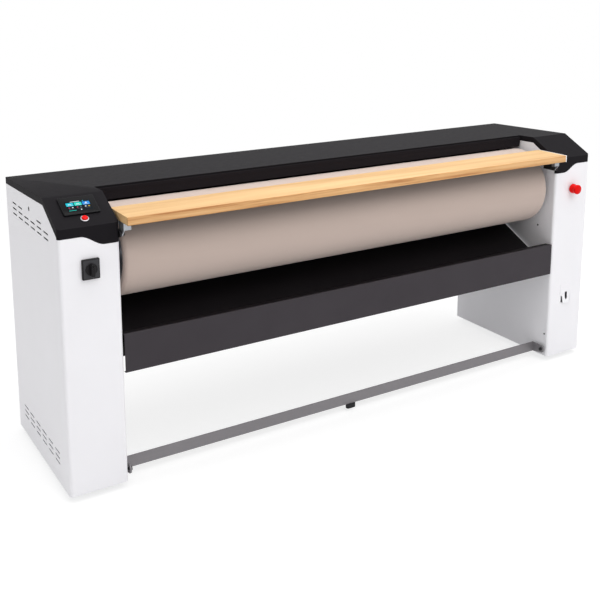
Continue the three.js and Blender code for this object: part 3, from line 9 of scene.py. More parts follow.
import bmesh
import bpy
import numpy as np
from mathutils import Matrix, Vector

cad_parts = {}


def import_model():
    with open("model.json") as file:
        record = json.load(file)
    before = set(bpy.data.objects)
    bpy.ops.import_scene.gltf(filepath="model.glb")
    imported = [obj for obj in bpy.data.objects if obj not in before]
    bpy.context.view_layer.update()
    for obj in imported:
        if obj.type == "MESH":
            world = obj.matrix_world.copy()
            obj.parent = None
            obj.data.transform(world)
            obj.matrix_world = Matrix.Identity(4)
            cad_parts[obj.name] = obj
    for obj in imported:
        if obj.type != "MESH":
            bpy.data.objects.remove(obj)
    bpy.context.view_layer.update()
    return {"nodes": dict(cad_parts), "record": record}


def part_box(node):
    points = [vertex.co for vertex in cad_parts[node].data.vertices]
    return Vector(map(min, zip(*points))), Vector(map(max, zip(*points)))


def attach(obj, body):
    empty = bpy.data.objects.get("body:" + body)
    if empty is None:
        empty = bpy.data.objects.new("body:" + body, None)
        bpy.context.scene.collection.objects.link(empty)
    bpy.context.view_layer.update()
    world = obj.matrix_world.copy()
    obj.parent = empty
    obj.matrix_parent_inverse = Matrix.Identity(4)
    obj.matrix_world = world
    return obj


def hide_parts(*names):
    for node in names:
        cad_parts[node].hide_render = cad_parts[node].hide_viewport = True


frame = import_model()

MM = 0.001
NODE_BODY = {
    node: body for body, nodes in frame["record"]["behaviour"]["bodies"].items() for node in nodes
}
NODE_SLOT = {row["node"]: row["material_slot"] for row in frame["record"]["subparts"]}
ROOT_BODY = NODE_BODY["hood"]


def box_corners(node):
    """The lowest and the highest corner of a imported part."""
    low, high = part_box(node)
    return np.array(low), np.array(high)


# ---------- camera ----------

FOCAL_PIXELS = 918.3
PHOTO_PIXELS = 600
SENSOR_MM = 36.0
VIEW_SHIFT = -0.24
CAMERA_PLACE = (-2.1537, -3.2383, 1.8308)
CAMERA_YAW = 31.675
CAMERA_PITCH = -10.945


def photo_camera():
    data = bpy.data.cameras.new("photo_camera")
    data.sensor_width = SENSOR_MM
    data.lens = FOCAL_PIXELS * SENSOR_MM / PHOTO_PIXELS
    data.shift_y = VIEW_SHIFT
    camera = bpy.data.objects.new("photo_camera", data)
    camera.location = CAMERA_PLACE
    camera.rotation_euler = (math.radians(90 + CAMERA_PITCH), 0, math.radians(-CAMERA_YAW))
    bpy.context.scene.collection.objects.link(camera)
    bpy.context.scene.camera = camera


photo_camera()

# ---------- finishes ----------


def linear(red, green, blue):
    """An sRGB colour of 0 to 255 as linear light."""
    s = np.array([red, green, blue]) / 255
    return tuple(np.where(s <= 0.04045, s / 12.92, ((s + 0.055) / 1.055) ** 2.4)) + (1.0,)


class Finish:
    """One material: a Principled shader with procedural patterns on Object coordinates."""

    def __init__(self, name, colour, roughness, metallic=0.0, specular=0.5):
        self.material = bpy.data.materials.new(name)
        self.material.use_nodes = True
        self.nodes = self.material.node_tree.nodes
        self.links = self.material.node_tree.links
        self.shader = self.nodes["Principled BSDF"]
        self.colour = linear(*colour)
        self.shader.inputs["Base Color"].default_value = self.colour
        self.shader.inputs["Roughness"].default_value = roughness
        self.shader.inputs["Metallic"].default_value = metallic
        self.shader.inputs["Specular IOR Level"].default_value = specular
        self.coordinates = self.nodes.new("ShaderNodeTexCoord")

    def mapped(self, stretch=(1, 1, 1), source="Object"):
        mapping = self.nodes.new("ShaderNodeMapping")
        mapping.inputs["Scale"].default_value = stretch
        self.links.new(self.coordinates.outputs[source], mapping.inputs["Vector"])
        return mapping.outputs["Vector"]

    def noise(self, scale, stretch=(1, 1, 1), detail=3.0, source="Object"):
        node = self.nodes.new("ShaderNodeTexNoise")
        node.inputs["Scale"].default_value = scale
        node.inputs["Detail"].default_value = detail
        self.links.new(self.mapped(stretch, source=source), node.inputs["Vector"])
        return node.outputs["Fac"]

    def bands(self, scale, direction, source="Object"):
        node = self.nodes.new("ShaderNodeTexWave")
        node.bands_direction = direction
        node.inputs["Scale"].default_value = scale
        self.links.new(self.mapped(source=source), node.inputs["Vector"])
        return node.outputs["Fac"]

    def maths(self, operation, first, second):
        node = self.nodes.new("ShaderNodeMath")
        node.operation = operation
        for socket, value in zip(node.inputs, (first, second)):
            if isinstance(value, float):
                socket.default_value = value
            else:
                self.links.new(value, socket)
        return node.outputs[0]

    def shared(self, first, share, second):
        """That share of one pattern and the rest of another."""
        part = self.maths("MULTIPLY", first, share)
        rest = self.maths("MULTIPLY", second, 1 - share)
        return self.maths("ADD", part, rest)

    def ramp(self, pattern, stops):
        """Colours along a pattern; stops are (place, sRGB colour)."""
        node = self.nodes.new("ShaderNodeValToRGB")
        steps = node.color_ramp.elements
        while len(steps) < len(stops):
            steps.new(0.5)
        for step, (place, colour) in zip(steps, stops):
            step.position = place
            step.color = linear(*colour)
        self.links.new(pattern, node.inputs["Fac"])
        return node.outputs["Color"]

    def past(self, axis, place, width):
        """0 before a place along an axis of the object and 1 beyond it, over that width."""
        split = self.nodes.new("ShaderNodeSeparateXYZ")
        self.links.new(self.coordinates.outputs["Object"], split.inputs["Vector"])
        node = self.nodes.new("ShaderNodeMapRange")
        node.inputs["From Min"].default_value = place - width / 2
        node.inputs["From Max"].default_value = place + width / 2
        self.links.new(split.outputs[axis], node.inputs["Value"])
        return node.outputs["Result"]

    def blended(self, share, first, second):
        node = self.nodes.new("ShaderNodeMix")
        node.data_type = "RGBA"
        self.links.new(share, node.inputs["Factor"])
        self.links.new(first, node.inputs["A"])
        self.links.new(second, node.inputs["B"])
        return node.outputs["Result"]

    def colour_from(self, socket):
        self.links.new(socket, self.shader.inputs["Base Color"])

    def tint(self, pattern, spread):
        """The base colour, up to that share darker and lighter along a pattern."""
        base = np.array(self.colour[:3])
        node = self.nodes.new("ShaderNodeMix")
        node.data_type = "RGBA"
        node.inputs["A"].default_value = (*(base * (1 - spread)), 1)
        node.inputs["B"].default_value = (*np.minimum(base * (1 + spread), 1), 1)
        self.links.new(pattern, node.inputs["Factor"])
        self.colour_from(node.outputs["Result"])

    def gloss(self, pattern, smooth, rough):
        node = self.nodes.new("ShaderNodeMapRange")
        node.inputs["To Min"].default_value = smooth
        node.inputs["To Max"].default_value = rough
        self.links.new(pattern, node.inputs["Value"])
        self.links.new(node.outputs["Result"], self.shader.inputs["Roughness"])

    def relief(self, pattern, depth, strength=1.0):
        node = self.nodes.new("ShaderNodeBump")
        node.inputs["Distance"].default_value = depth
        node.inputs["Strength"].default_value = strength
        self.links.new(pattern, node.inputs["Height"])
        self.links.new(node.outputs["Normal"], self.shader.inputs["Normal"])


def paint_texture(finish, roughness, grain=650, depth=0.00006):
    """The fine orange-peel relief and the uneven gloss of powder paint."""
    finish.gloss(finish.noise(40, detail=5), roughness - 0.05, roughness + 0.06)
    finish.relief(finish.noise(grain, detail=2), depth)


def powder_coat(name, colour, roughness, specular=0.5, grain=650, depth=0.00006):
    """Powder paint of one colour, faintly cloudy."""
    finish = Finish(name, colour, roughness, specular=specular)
    finish.tint(finish.noise(7, detail=4), 0.02)
    paint_texture(finish, roughness, grain, depth)
    return finish


def brushed_metal(name, colour, roughness, along="X", metallic=1.0):
    """Drawn or brushed metal: fine scratches along one axis."""
    finish = Finish(name, colour, roughness, metallic)
    stretch = {"X": (3, 260, 260), "Y": (260, 3, 260), "Z": (260, 260, 3)}[along]
    scratches = finish.noise(3, stretch, detail=6)
    finish.tint(scratches, 0.14)
    finish.gloss(scratches, roughness - 0.08, roughness + 0.14)
    finish.relief(scratches, 0.00004, 0.6)
    return finish


def cast_metal(name, colour, roughness, metallic):
    """Cast surface: a sandy relief with darker hollows."""
    finish = Finish(name, colour, roughness, metallic)
    sand = finish.noise(320, detail=5)
    finish.tint(finish.noise(25, detail=6), 0.18)
    finish.gloss(sand, roughness - 0.1, roughness + 0.1)
    finish.relief(sand, 0.0004, 0.7)
    return finish


def moulded_plastic(name, colour, roughness, texture=900, depth=0.00005, specular=0.5):
    finish = Finish(name, colour, roughness, specular=specular)
    grain = finish.noise(texture, detail=2)
    finish.tint(finish.noise(60, detail=3), 0.05)
    finish.gloss(grain, roughness - 0.04, roughness + 0.05)
    finish.relief(grain, depth)
    return finish


def board_wood(front, bottom):
    """Lacquered light hardwood: long soft bands along X over fine fibres. Within a few millimetres of the
    front edge the tone is that of a sawn edge, darker and more orange, with streaks. The underside is
    coloured near black as painted shade, standing in for the shade between the board and the roll."""
    finish = Finish("board_wood", (220, 180, 130), 0.5, specular=0.16)
    fibres = finish.noise(3, (4, 150, 150), detail=6)
    figure = finish.noise(1.6, (0.9, 16, 16), detail=4)
    streaks = finish.noise(1.6, (1.5, 50, 50), detail=3)
    mixed = finish.shared(figure, 0.75, fibres)
    sawn = finish.shared(streaks, 0.7, fibres)
    face = finish.ramp(mixed, [(0.32, (209, 165, 112)), (0.5, (224, 184, 132)), (0.68, (232, 196, 144))])
    edge = finish.ramp(sawn, [(0.38, (186, 130, 82)), (0.49, (216, 166, 112)), (0.62, (230, 184, 131))])
    # Painted shade: the board's underside is coloured near black, standing in for the shade between the
    # board and the roll below it.
    painted_shade_underside = finish.ramp(fibres, [(0.3, (20, 17, 17)), (0.7, (30, 26, 25))])
    wood = finish.blended(finish.past("Y", front + 3 * MM, 2 * MM), edge, face)
    finish.colour_from(finish.blended(finish.past("Z", bottom + 1.4 * MM, 0.6 * MM), painted_shade_underside, wood))
    finish.gloss(fibres, 0.45, 0.6)
    finish.relief(fibres, 0.00012, 0.4)
    return finish


def tray_paint(lip):
    """Dark grey powder paint on the lip; behind the lip the tray's floor is coloured near black as painted
    shade, for the shade under the roll.
    """
    roughness = 0.55
    finish = Finish("tray_coat_and_painted_shade", (62, 58, 62), roughness, specular=0.12)
    paint_texture(finish, roughness)
    clouds = finish.noise(7, detail=4)
    outside = finish.ramp(clouds, [(0.3, (61, 57, 61)), (0.7, (64, 60, 64))])
    # Painted shade: behind the lip the floor of the tray is coloured near black for the shade that the roll
    # casts into it.
    inside = finish.ramp(clouds, [(0.3, (24, 21, 23)), (0.7, (27, 24, 26))])
    finish.colour_from(finish.blended(finish.past("Y", lip + 9 * MM, 8 * MM), outside, inside))
    return finish


def roll_cloth():
    """Woven polyester cover: a fine plain weave on the cloth's own UV map, in metres, and the
    slight scorching that heat leaves in bands round the roll."""
    finish = Finish("roll_cloth", (197, 179, 169), 0.92, specular=0.15)
    warp = finish.bands(520, "X", source="UV")
    weft = finish.bands(520, "Y", source="UV")
    weave = finish.maths("MAXIMUM", warp, weft)
    clouds = finish.noise(3, (1, 5, 1), detail=4, source="UV")
    finish.tint(clouds, 0.035)
    slubs = finish.maths("MULTIPLY", finish.noise(120, source="UV"), 0.8)
    finish.relief(finish.maths("ADD", weave, slubs), 0.00012, 0.5)
    finish.shader.inputs["Sheen Weight"].default_value = 0.25
    finish.shader.inputs["Sheen Roughness"].default_value = 0.5
    return finish


def needle_felt():
    finish = Finish("needle_felt", (226, 220, 208), 0.97, specular=0.15)
    fuzz = finish.noise(700, detail=5)
    finish.tint(fuzz, 0.12)
    finish.relief(fuzz, 0.0006, 0.8)
    finish.shader.inputs["Sheen Weight"].default_value = 0.4
    return finish


def black_rubber():
    finish = Finish("black_rubber", (44, 44, 46), 0.85, specular=0.25)
    bloom = finish.noise(140, detail=4)
    finish.tint(bloom, 0.2)
    finish.relief(finish.noise(900, detail=2), 0.0001, 0.5)
    return finish


def lit(name, colour, strength):
    """A lit patch of the display, with a faint unevenness of its back light."""
    finish = Finish(name, (8, 8, 10), 0.35, specular=0.05)
    glow = finish.noise(90, detail=1)
    finish.tint(glow, 0.1)
    finish.shader.inputs["Emission Color"].default_value = linear(*colour)
    finish.shader.inputs["Emission Strength"].default_value = strength
    return finish


FINISHES = {
    "white_paint": powder_coat("white_powder_coat", (245, 244, 247), 0.45, 0.35),
    "black_paint": powder_coat("black_powder_coat", (27, 25, 28), 0.62, 0.06, 900, 0.00009),
    "guard_paint": powder_coat("guard_powder_coat", (30, 27, 30), 0.6, 0.06, 900, 0.00009),
    "tray_paint": tray_paint(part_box("linen_tray")[0][1]),
    "grey_steel": brushed_metal("grey_steel", (134, 131, 134), 0.5, "X", 0.45),
    "bright_steel": brushed_metal("bright_steel", (200, 202, 206), 0.28),
    "zinc": cast_metal("zinc_plate", (176, 179, 184), 0.38, 0.85),
    "cast_aluminium": cast_metal("cast_aluminium", (172, 174, 178), 0.5, 0.8),
    "polished_aluminium": brushed_metal("polished_aluminium", (208, 210, 212), 0.16),
    "cast_iron": cast_metal("oiled_iron", (72, 75, 80), 0.55, 0.5),
    "motor_paint": powder_coat("motor_enamel", (88, 95, 104), 0.38),
    "black_oxide": cast_metal("black_oxide", (30, 30, 32), 0.45, 0.4),
    "black_plastic": moulded_plastic("black_plastic", (21, 20, 22), 0.42, specular=0.2),
    "switch_plate": moulded_plastic("switch_plate_plastic", (56, 56, 59), 0.5, specular=0.3),
    "screen_plastic": moulded_plastic("screen_plastic", (17, 16, 19), 0.35, specular=0.1),
    "red_plastic": moulded_plastic("red_plastic", (226, 8, 5), 0.4, 1200, 0.00002, 0.12),
    "beech": board_wood(*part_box("feed_board")[0][1:]),
    "roll_cloth": roll_cloth(),
    "felt": needle_felt(),
    "rubber": black_rubber(),
    "cabinet": powder_coat("cabinet_enamel", (198, 200, 201), 0.5),
}


def wear(piece, finish):
    piece.data.materials.clear()
    piece.data.materials.append(finish.material)


# ---------- meshes ----------

SMOOTH_ANGLE = math.radians(33)


def mesh_object(name, vertices, faces, finish, uv=None):
    """A mesh from arrays, with its doubles merged, its faces turned out and its soft edges smooth."""
    mesh = bpy.data.meshes.new(name)
    mesh.from_pydata([tuple(v) for v in vertices], [], faces)
    if uv is not None:
        layer = mesh.uv_layers.new(name="cloth")
        corners = np.empty(len(mesh.loops), dtype=np.int32)
        mesh.loops.foreach_get("vertex_index", corners)
        layer.data.foreach_set("uv", uv[corners].astype(np.float32).ravel())
    tidy = bmesh.new()
    tidy.from_mesh(mesh)
    bmesh.ops.remove_doubles(tidy, verts=tidy.verts, dist=1e-7)
    bmesh.ops.recalc_face_normals(tidy, faces=tidy.faces)
    tidy.to_mesh(mesh)
    tidy.free()
    mesh.shade_smooth()
    mesh.set_sharp_from_angle(angle=SMOOTH_ANGLE)
    piece = bpy.data.objects.new(name, mesh)
    bpy.context.scene.collection.objects.link(piece)
    wear(piece, finish)
    return piece


def ring_faces(rings, around, first=0):
    """Quads between neighbouring closed rings of a grid, whose rings have so many points."""
    along, point = np.meshgrid(np.arange(rings - 1), np.arange(around), indexing="ij")
    following = (point + 1) % around
    a, b = along * around + point, along * around + following
    quads = np.stack([a, b, b + around, a + around], axis=-1).reshape(-1, 4) + first
    return quads.tolist()


def lofted(name, rings, finish, caps=True):
    """A closed skin over rings of points, an array (rings, points, 3), with flat ends."""
    count, around = rings.shape[:2]
    faces = ring_faces(count, around)
    if caps:
        faces.append(list(range(around)))
        faces.append(list(range((count - 1) * around, count * around)))
    return mesh_object(name, rings.reshape(-1, 3), faces, finish)


def basis(normal):
    """Two directions across a normal, and the normal, as the columns of a matrix."""
    n = np.array(normal, dtype=float)
    n /= np.linalg.norm(n)
    helper = np.array([0.0, 0.0, 1.0]) if abs(n[2]) < 0.9 else np.array([0.0, 1.0, 0.0])
    u = np.cross(helper, n)
    u /= np.linalg.norm(u)
    return np.stack([u, np.cross(n, u), n], axis=1)


def turned(profile, centre, normal, steps):
    """Rings of a turned body: each (radius, height) of the profile becomes a circle of that
    radius about the normal through the centre."""
    profile = np.array(profile, dtype=float)
    angle = np.linspace(0, 2 * np.pi, steps, endpoint=False)
    circle = np.stack([np.cos(angle), np.sin(angle)], axis=-1)
    flat = profile[:, None, :1] * circle[None]
    height = np.broadcast_to(profile[:, None, 1:], (*flat.shape[:2], 1))
    return np.concatenate([flat, height], axis=-1) @ basis(normal).T + np.array(centre)


def turned_piece(name, profile, centre, normal, steps, finish):
    """A turned body; its profile is in millimetres and closes on itself or on the axis."""
    return lofted(name, turned(np.array(profile) * MM, centre, normal, steps), finish, caps=False)


def rounded_rectangle(width, height, corner, steps=6):
    """Points round a rectangle whose corners are quarter circles, centred on the origin."""
    turn = np.linspace(0, np.pi / 2, steps)
    arc = np.stack([np.cos(turn), np.sin(turn)], axis=-1) * corner
    reach = np.array([width / 2 - corner, height / 2 - corner])
    quarters = []
    for k in range(4):
        c, s = round(math.cos(k * math.pi / 2)), round(math.sin(k * math.pi / 2))
        spin = np.array([[c, -s], [s, c]])
        sign = np.array([[1, 1], [-1, 1], [-1, -1], [1, -1]][k])
        quarters.append(arc @ spin.T + reach * sign)
    return np.concatenate(quarters)


class Place:
    """A flat working frame on the machine: u to the right, v up the face, n out of it."""

    def __init__(self, origin, right, up):
        self.origin = np.array(origin, dtype=float)
        self.right = np.array(right, dtype=float)
        self.up = np.array(up, dtype=float)
        self.out = np.cross(self.right, self.up)

    def points(self, uv, n):
        uv = np.asarray(uv, dtype=float)
        return self.origin + uv[..., :1] * self.right + uv[..., 1:2] * self.up + n * self.out


SMALLEST_CORNER = 0.1 * MM


def slab(name, place, centre, size, corner, low, high, edge, finish, steps=6):
    """A rounded plate between two heights over a place, whose front edge is a quarter round."""
    turn = np.linspace(0, np.pi / 2, 5)
    rings = [place.points(rounded_rectangle(*size, corner, steps) + centre, low)]
    for t in turn:
        inset = edge * (1 - math.cos(t))
        width, height = size[0] - 2 * inset, size[1] - 2 * inset
        outline = rounded_rectangle(width, height, max(corner - inset, SMALLEST_CORNER), steps)
        rings.append(place.points(outline + centre, high - edge + edge * math.sin(t)))
    return lofted(name, np.array(rings), finish)


def belongs(piece, body, slot, *nodes):
    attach(piece, body)
    if nodes:
        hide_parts(*nodes)


# ---------- CAD parts with their edges broken ----------

FLAT_ANGLE = math.radians(0.6)
BEVEL_ANGLE = math.radians(40)
BEVEL_STEPS = 2


def softened(node, width, finish=None):
    """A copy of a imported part: its triangles joined into flat faces and its edges rounded."""
    mesh = bpy.data.meshes.new(node + "_skin")
    shape = bmesh.new()
    shape.from_mesh(frame["nodes"][node].data)
    bmesh.ops.remove_doubles(shape, verts=shape.verts, dist=2e-6)
    bmesh.ops.dissolve_limit(shape, angle_limit=FLAT_ANGLE, verts=shape.verts, edges=shape.edges)
    shape.to_mesh(mesh)
    shape.free()
    mesh.shade_smooth()
    mesh.set_sharp_from_angle(angle=SMOOTH_ANGLE)
    piece = bpy.data.objects.new(node + "_skin", mesh)
    bpy.context.scene.collection.objects.link(piece)
    wear(piece, finish or FINISHES[NODE_SLOT[node]])
    bevel = piece.modifiers.new("broken_edges", "BEVEL")
    bevel.width = width
    bevel.segments = BEVEL_STEPS
    bevel.limit_method = "ANGLE"
    bevel.angle_limit = BEVEL_ANGLE
    bevel.harden_normals = True
    belongs(piece, NODE_BODY[node], NODE_SLOT[node], node)
    return piece


EDGE_WIDTHS = {
    0.8 * MM: ["hood", "left_front_panel", "right_front_panel", "access_flap", "linen_tray",
               "left_rear_cover", "right_rear_cover", "rear_panel"],
    0.5 * MM: ["left_outer_panel", "right_outer_panel", "left_inner_plate", "right_inner_plate",
               "bed_cover", "left_board_bracket", "right_board_bracket", "left_base", "right_base",
               "left_pedal_pivot", "right_pedal_pivot", "left_board_hinge", "right_board_hinge",
               "cable_gland", "roll_sprocket", "drive_sprocket", "drive_chain", "left_bed_rail",
               "right_bed_rail", "heating_element", "left_roll_end", "right_roll_end", "press_shaft",
               "left_front_foot", "right_front_foot", "left_rear_foot", "right_rear_foot",
               "left_bed_carrier", "right_bed_carrier"],
    1.2 * MM: ["pedal_bar", "finger_guard", "left_bearing", "right_bearing", "bed_shoe", "electrical_box",
               "upper_rear_beam", "lower_rear_beam", "press_motor", "gearbox", "drive_motor",
               "pedal_bumper", "roll_tube"],
}


def dress_parts():
    for width, nodes in EDGE_WIDTHS.items():
        for node in nodes:
            finish = FINISHES["guard_paint"] if node == "finger_guard" else None
            softened(node, width, finish)


dress_parts()

# ---------- roll ----------

ROLL_LOW, ROLL_HIGH = box_corners("roll_cloth")
ROLL_AXIS = (ROLL_LOW + ROLL_HIGH) / 2
ROLL_RADIUS = (ROLL_HIGH[2] - ROLL_LOW[2]) / 2
ROLL_HALF = (ROLL_HIGH[0] - ROLL_LOW[0]) / 2
COVER_EDGE = 14 * MM
COVER_MOUTH = 30 * MM
COVER_THICKNESS = 1.2 * MM
COVER_SET_IN = 0.5 * MM
GATHERS = 46
PLEAT_DEPTH = 0.9 * MM
PUCKER_DEPTH = 0.5 * MM
WAVE_DEPTH = 0.25 * MM
SEAM_PROUD = 0.45 * MM
SEAM_ANGLE = 1.2
SEAM_SPREAD = 0.02
FELT_THICKNESS = 7 * MM
FELT_UNDER_EDGE = 4 * MM


def roll_cover():
    """The cloth is a cylinder about the roll's axis. Near each end it turns in by a quarter
    circle, then runs down the end face to its mouth, where it is gathered: its place along the
    roll is a sine of the angle, whose size grows towards the mouth. The same sine, small, puckers
    the turned edge. A long seam stands a little proud, and the cloth swells in slow waves."""
    around = 256
    turn = np.linspace(0, np.pi / 2, 7)
    down = np.linspace(0, 1, 7)[1:]
    end = [(ROLL_HALF - COVER_EDGE + COVER_EDGE * math.sin(t),
            ROLL_RADIUS - COVER_EDGE + COVER_EDGE * math.cos(t), 0.0) for t in turn]
    end += [(ROLL_HALF, ROLL_RADIUS - COVER_EDGE - (COVER_MOUTH - COVER_EDGE) * d, d) for d in down]
    straight = ROLL_HALF - COVER_EDGE
    body = [(x, ROLL_RADIUS, 0.0) for x in np.linspace(-straight, straight, 80)[1:-1]]
    stations = np.array([(-x, r, g) for x, r, g in reversed(end)] + body + end)
    angle = np.linspace(0, 2 * np.pi, around, endpoint=False)
    x, radius, gather = (stations[:, k][:, None] for k in range(3))
    waves = WAVE_DEPTH * np.sin(3 * angle[None] + 2.1 * x) * np.cos(5.3 * x + angle[None])
    inside = (gather == 0) & (np.abs(x) < ROLL_HALF - 2 * COVER_EDGE)
    seam = SEAM_PROUD * np.exp(-(((angle[None] - SEAM_ANGLE) / SEAM_SPREAD) ** 2))
    turned_in = np.clip((np.abs(x) - ROLL_HALF + COVER_EDGE) / COVER_EDGE, 0, 1)
    pucker = PUCKER_DEPTH * np.sin(math.pi * turned_in) * (np.sin(GATHERS * angle[None]) - 1)
    r = radius - COVER_SET_IN + np.where(inside, waves + seam, 0) + pucker
    pleat = PLEAT_DEPTH * gather * (np.sin(GATHERS * angle[None]) - 1) * np.sign(x)
    y = ROLL_AXIS[1] + r * np.cos(angle)[None]
    z = ROLL_AXIS[2] + r * np.sin(angle)[None]
    points = np.stack([x + pleat, y, z], axis=-1)
    along = np.concatenate([[0], np.cumsum(np.hypot(np.diff(stations[:, 0]), np.diff(stations[:, 1])))])
    uv = np.stack(np.broadcast_arrays(along[:, None], ROLL_RADIUS * angle[None]), axis=-1).reshape(-1, 2)
    piece = mesh_object("roll_cover", points.reshape(-1, 3), ring_faces(len(stations), around),
                        FINISHES["roll_cloth"], uv)
    wall = piece.modifiers.new("cloth_thickness", "SOLIDIFY")
    wall.thickness = COVER_THICKNESS
    wall.offset = -1
    belongs(piece, NODE_BODY["roll_cloth"], "roll_cloth", "roll_cloth")
    return piece


def roll_felt():
    """The felt is a thick tube whose outer edge follows the turned edge of the cloth. Its section
    is (half - set + reach cos t, outer - set + reach sin t), cut off at the inner radius."""
    low, high = box_corners("roll_padding")
    outer = (high[2] - low[2]) / 2
    inner = outer - FELT_THICKNESS
    edge = COVER_EDGE - FELT_UNDER_EDGE
    centre = (ROLL_HALF - COVER_EDGE, outer - edge)
    last = math.asin(max(inner - centre[1], 0) / edge)
    right = [(centre[0] + edge * math.cos(t), centre[1] + edge * math.sin(t))
             for t in np.linspace(math.pi / 2, last, 9)]
    right.append((right[-1][0], inner))
    left = [(-x, r) for x, r in reversed(right)]
    section = np.array(right + left)
    angle = np.linspace(0, 2 * np.pi, 128, endpoint=False)
    x = np.broadcast_to(section[:, :1], (len(section), len(angle)))
    y = ROLL_AXIS[1] + section[:, 1:] * np.cos(angle)
    z = ROLL_AXIS[2] + section[:, 1:] * np.sin(angle)
    points = np.stack([x, y, z], axis=-1)
    points = np.concatenate([points, points[:1]])
    faces = ring_faces(len(points), len(angle))
    piece = mesh_object("roll_felt", points.reshape(-1, 3), faces, FINISHES["felt"])
    belongs(piece, NODE_BODY["roll_padding"], "felt", "roll_padding")


roll_felt()
roll_cover()

# ---------- feed board ----------

BOARD_ROUND = 2.5 * MM
BOARD_END_ROUND = 1.5 * MM
BOARD_BEVEL_DEPTH = 20 * MM
BOARD_BEVEL_RISE = 16 * MM
STRIP_WIDTH = 5 * MM
STRIP_PROUD = 0.3 * MM


def feed_board():
    """The board is its five-sided section drawn along X, with every corner of the section a
    quarter round and the two ends drawn in by a smaller radius."""
    low, high = box_corners("feed_board")
    corners = np.array([
        (low[1], low[2]),
        (high[1] - BOARD_BEVEL_DEPTH, low[2]),
        (high[1], low[2] + BOARD_BEVEL_RISE),
        (high[1], high[2]),
        (low[1], high[2]),
    ])
    steps = 5
    rounded = []
    for k, corner in enumerate(corners):
        before = corners[k - 1] - corner
        after = corners[(k + 1) % len(corners)] - corner
        before, after = before / np.linalg.norm(before), after / np.linalg.norm(after)
        t = np.linspace(0, 1, steps)[:, None]
        start, end = corner + before * BOARD_ROUND, corner + after * BOARD_ROUND
        rounded.append((1 - t) ** 2 * start + 2 * t * (1 - t) * corner + t ** 2 * end)
    section = np.concatenate(rounded)
    centre = section.mean(axis=0)
    rings = []
    for turn in np.linspace(0, np.pi / 2, 4):
        pull = BOARD_END_ROUND * (1 - math.sin(turn))
        direction = section - centre
        ring = section - direction / np.abs(direction).max(axis=0) * pull
        rings.append((low[0] + BOARD_END_ROUND * (1 - math.cos(turn)), ring))
    rings += [(low[0] + high[0] - x, ring) for x, ring in reversed(rings)]
    points = np.array([np.column_stack([np.full(len(ring), x), ring]) for x, ring in rings])
    piece = lofted("feed_board_wood", points, FINISHES["beech"])
    belongs(piece, NODE_BODY["feed_board"], "beech", "feed_board")
    end_strip(section, high[0])


def end_strip(section, end):
    """A pale strip round the right end of the board: its section grown by a hair, as a plate."""
    outward = np.sign(section - section.mean(axis=0))
    steps = [(STRIP_WIDTH, 0.0), (STRIP_WIDTH, STRIP_PROUD), (0.0, STRIP_PROUD), (-STRIP_PROUD, 0.0)]
    rings = []
    for inward, grow in steps:
        rings.append(np.column_stack([np.full(len(section), end - inward), section + outward * grow]))
    strip = lofted("board_end_strip", np.array(rings), FINISHES["white_paint"])
    belongs(strip, NODE_BODY["feed_board"], "white_paint")


feed_board()

# ---------- controls on the sloping face ----------

HOOD_LOW, HOOD_HIGH = box_corners("hood")
SLOPE_DEPTH, SLOPE_RISE = 156 * MM, 80 * MM
SLOPE_LENGTH = math.hypot(SLOPE_DEPTH, SLOPE_RISE)
SCREEN_LOW, SCREEN_HIGH = box_corners("touchscreen")
COLUMN_MIDDLE = abs(SCREEN_LOW[0] + SCREEN_HIGH[0]) / 2
slope = Place((-COLUMN_MIDDLE, HOOD_LOW[1], HOOD_HIGH[2] - SLOPE_RISE), (1, 0, 0),
              (0, SLOPE_DEPTH / SLOPE_LENGTH, SLOPE_RISE / SLOPE_LENGTH))

SCREEN_MIDDLE = (0.0, 109 * MM)
SCREEN_SIZE = (130 * MM, 94 * MM)
SCREEN_CORNER = 5 * MM
SCREEN_EDGE = 1.5 * MM
SCREEN_SEAT = 0.3 * MM
SCREEN_FACE = 6.3 * MM
REAR_BOX_SIZE = (108 * MM, 72 * MM)
REAR_BOX_CORNER = 2 * MM
REAR_BOX_DEPTH = 22 * MM
REAR_BOX_TOP = 0.4 * MM
REAR_BOX_EDGE = 0.4 * MM
GLASS_SIZE = (122 * MM, 86 * MM)
GLASS_CORNER = 3 * MM
GLASS_EDGE = 0.3 * MM
GLASS_DEPTH = 1 * MM
GLASS_PROUD = 0.35 * MM
PICTURE_MIDDLE = (-1.5 * MM, 104 * MM)
PICTURE_SIZE = (90 * MM, 54 * MM)
PATCH_SEAT = 0.3 * MM
PATCH_FACE = 0.45 * MM
PATCH_LEVEL = 0.12 * MM
PATCH_EDGE = 0.05 * MM
PATCH_STEPS = 5


def touchscreen():
    """A rounded housing with a rear box, and a glossy glass set into it."""
    plastic = FINISHES["screen_plastic"]
    housing = slab("screen_housing", slope, SCREEN_MIDDLE, SCREEN_SIZE, SCREEN_CORNER,
                   SCREEN_SEAT, SCREEN_FACE, SCREEN_EDGE, plastic)
    belongs(housing, ROOT_BODY, "screen_plastic", "touchscreen")
    box = slab("screen_rear_box", slope, SCREEN_MIDDLE, REAR_BOX_SIZE, REAR_BOX_CORNER,
               -REAR_BOX_DEPTH, REAR_BOX_TOP, REAR_BOX_EDGE, plastic)
    belongs(box, ROOT_BODY, "screen_plastic")
    glass_finish = moulded_plastic("screen_glass", (8, 8, 11), 0.15, 60, 0.00001, 0.12)
    glass = slab("screen_glass", slope, SCREEN_MIDDLE, GLASS_SIZE, GLASS_CORNER,
                 SCREEN_FACE - GLASS_DEPTH, SCREEN_FACE + GLASS_PROUD, GLASS_EDGE, glass_finish)
    belongs(glass, ROOT_BODY, "screen_plastic")


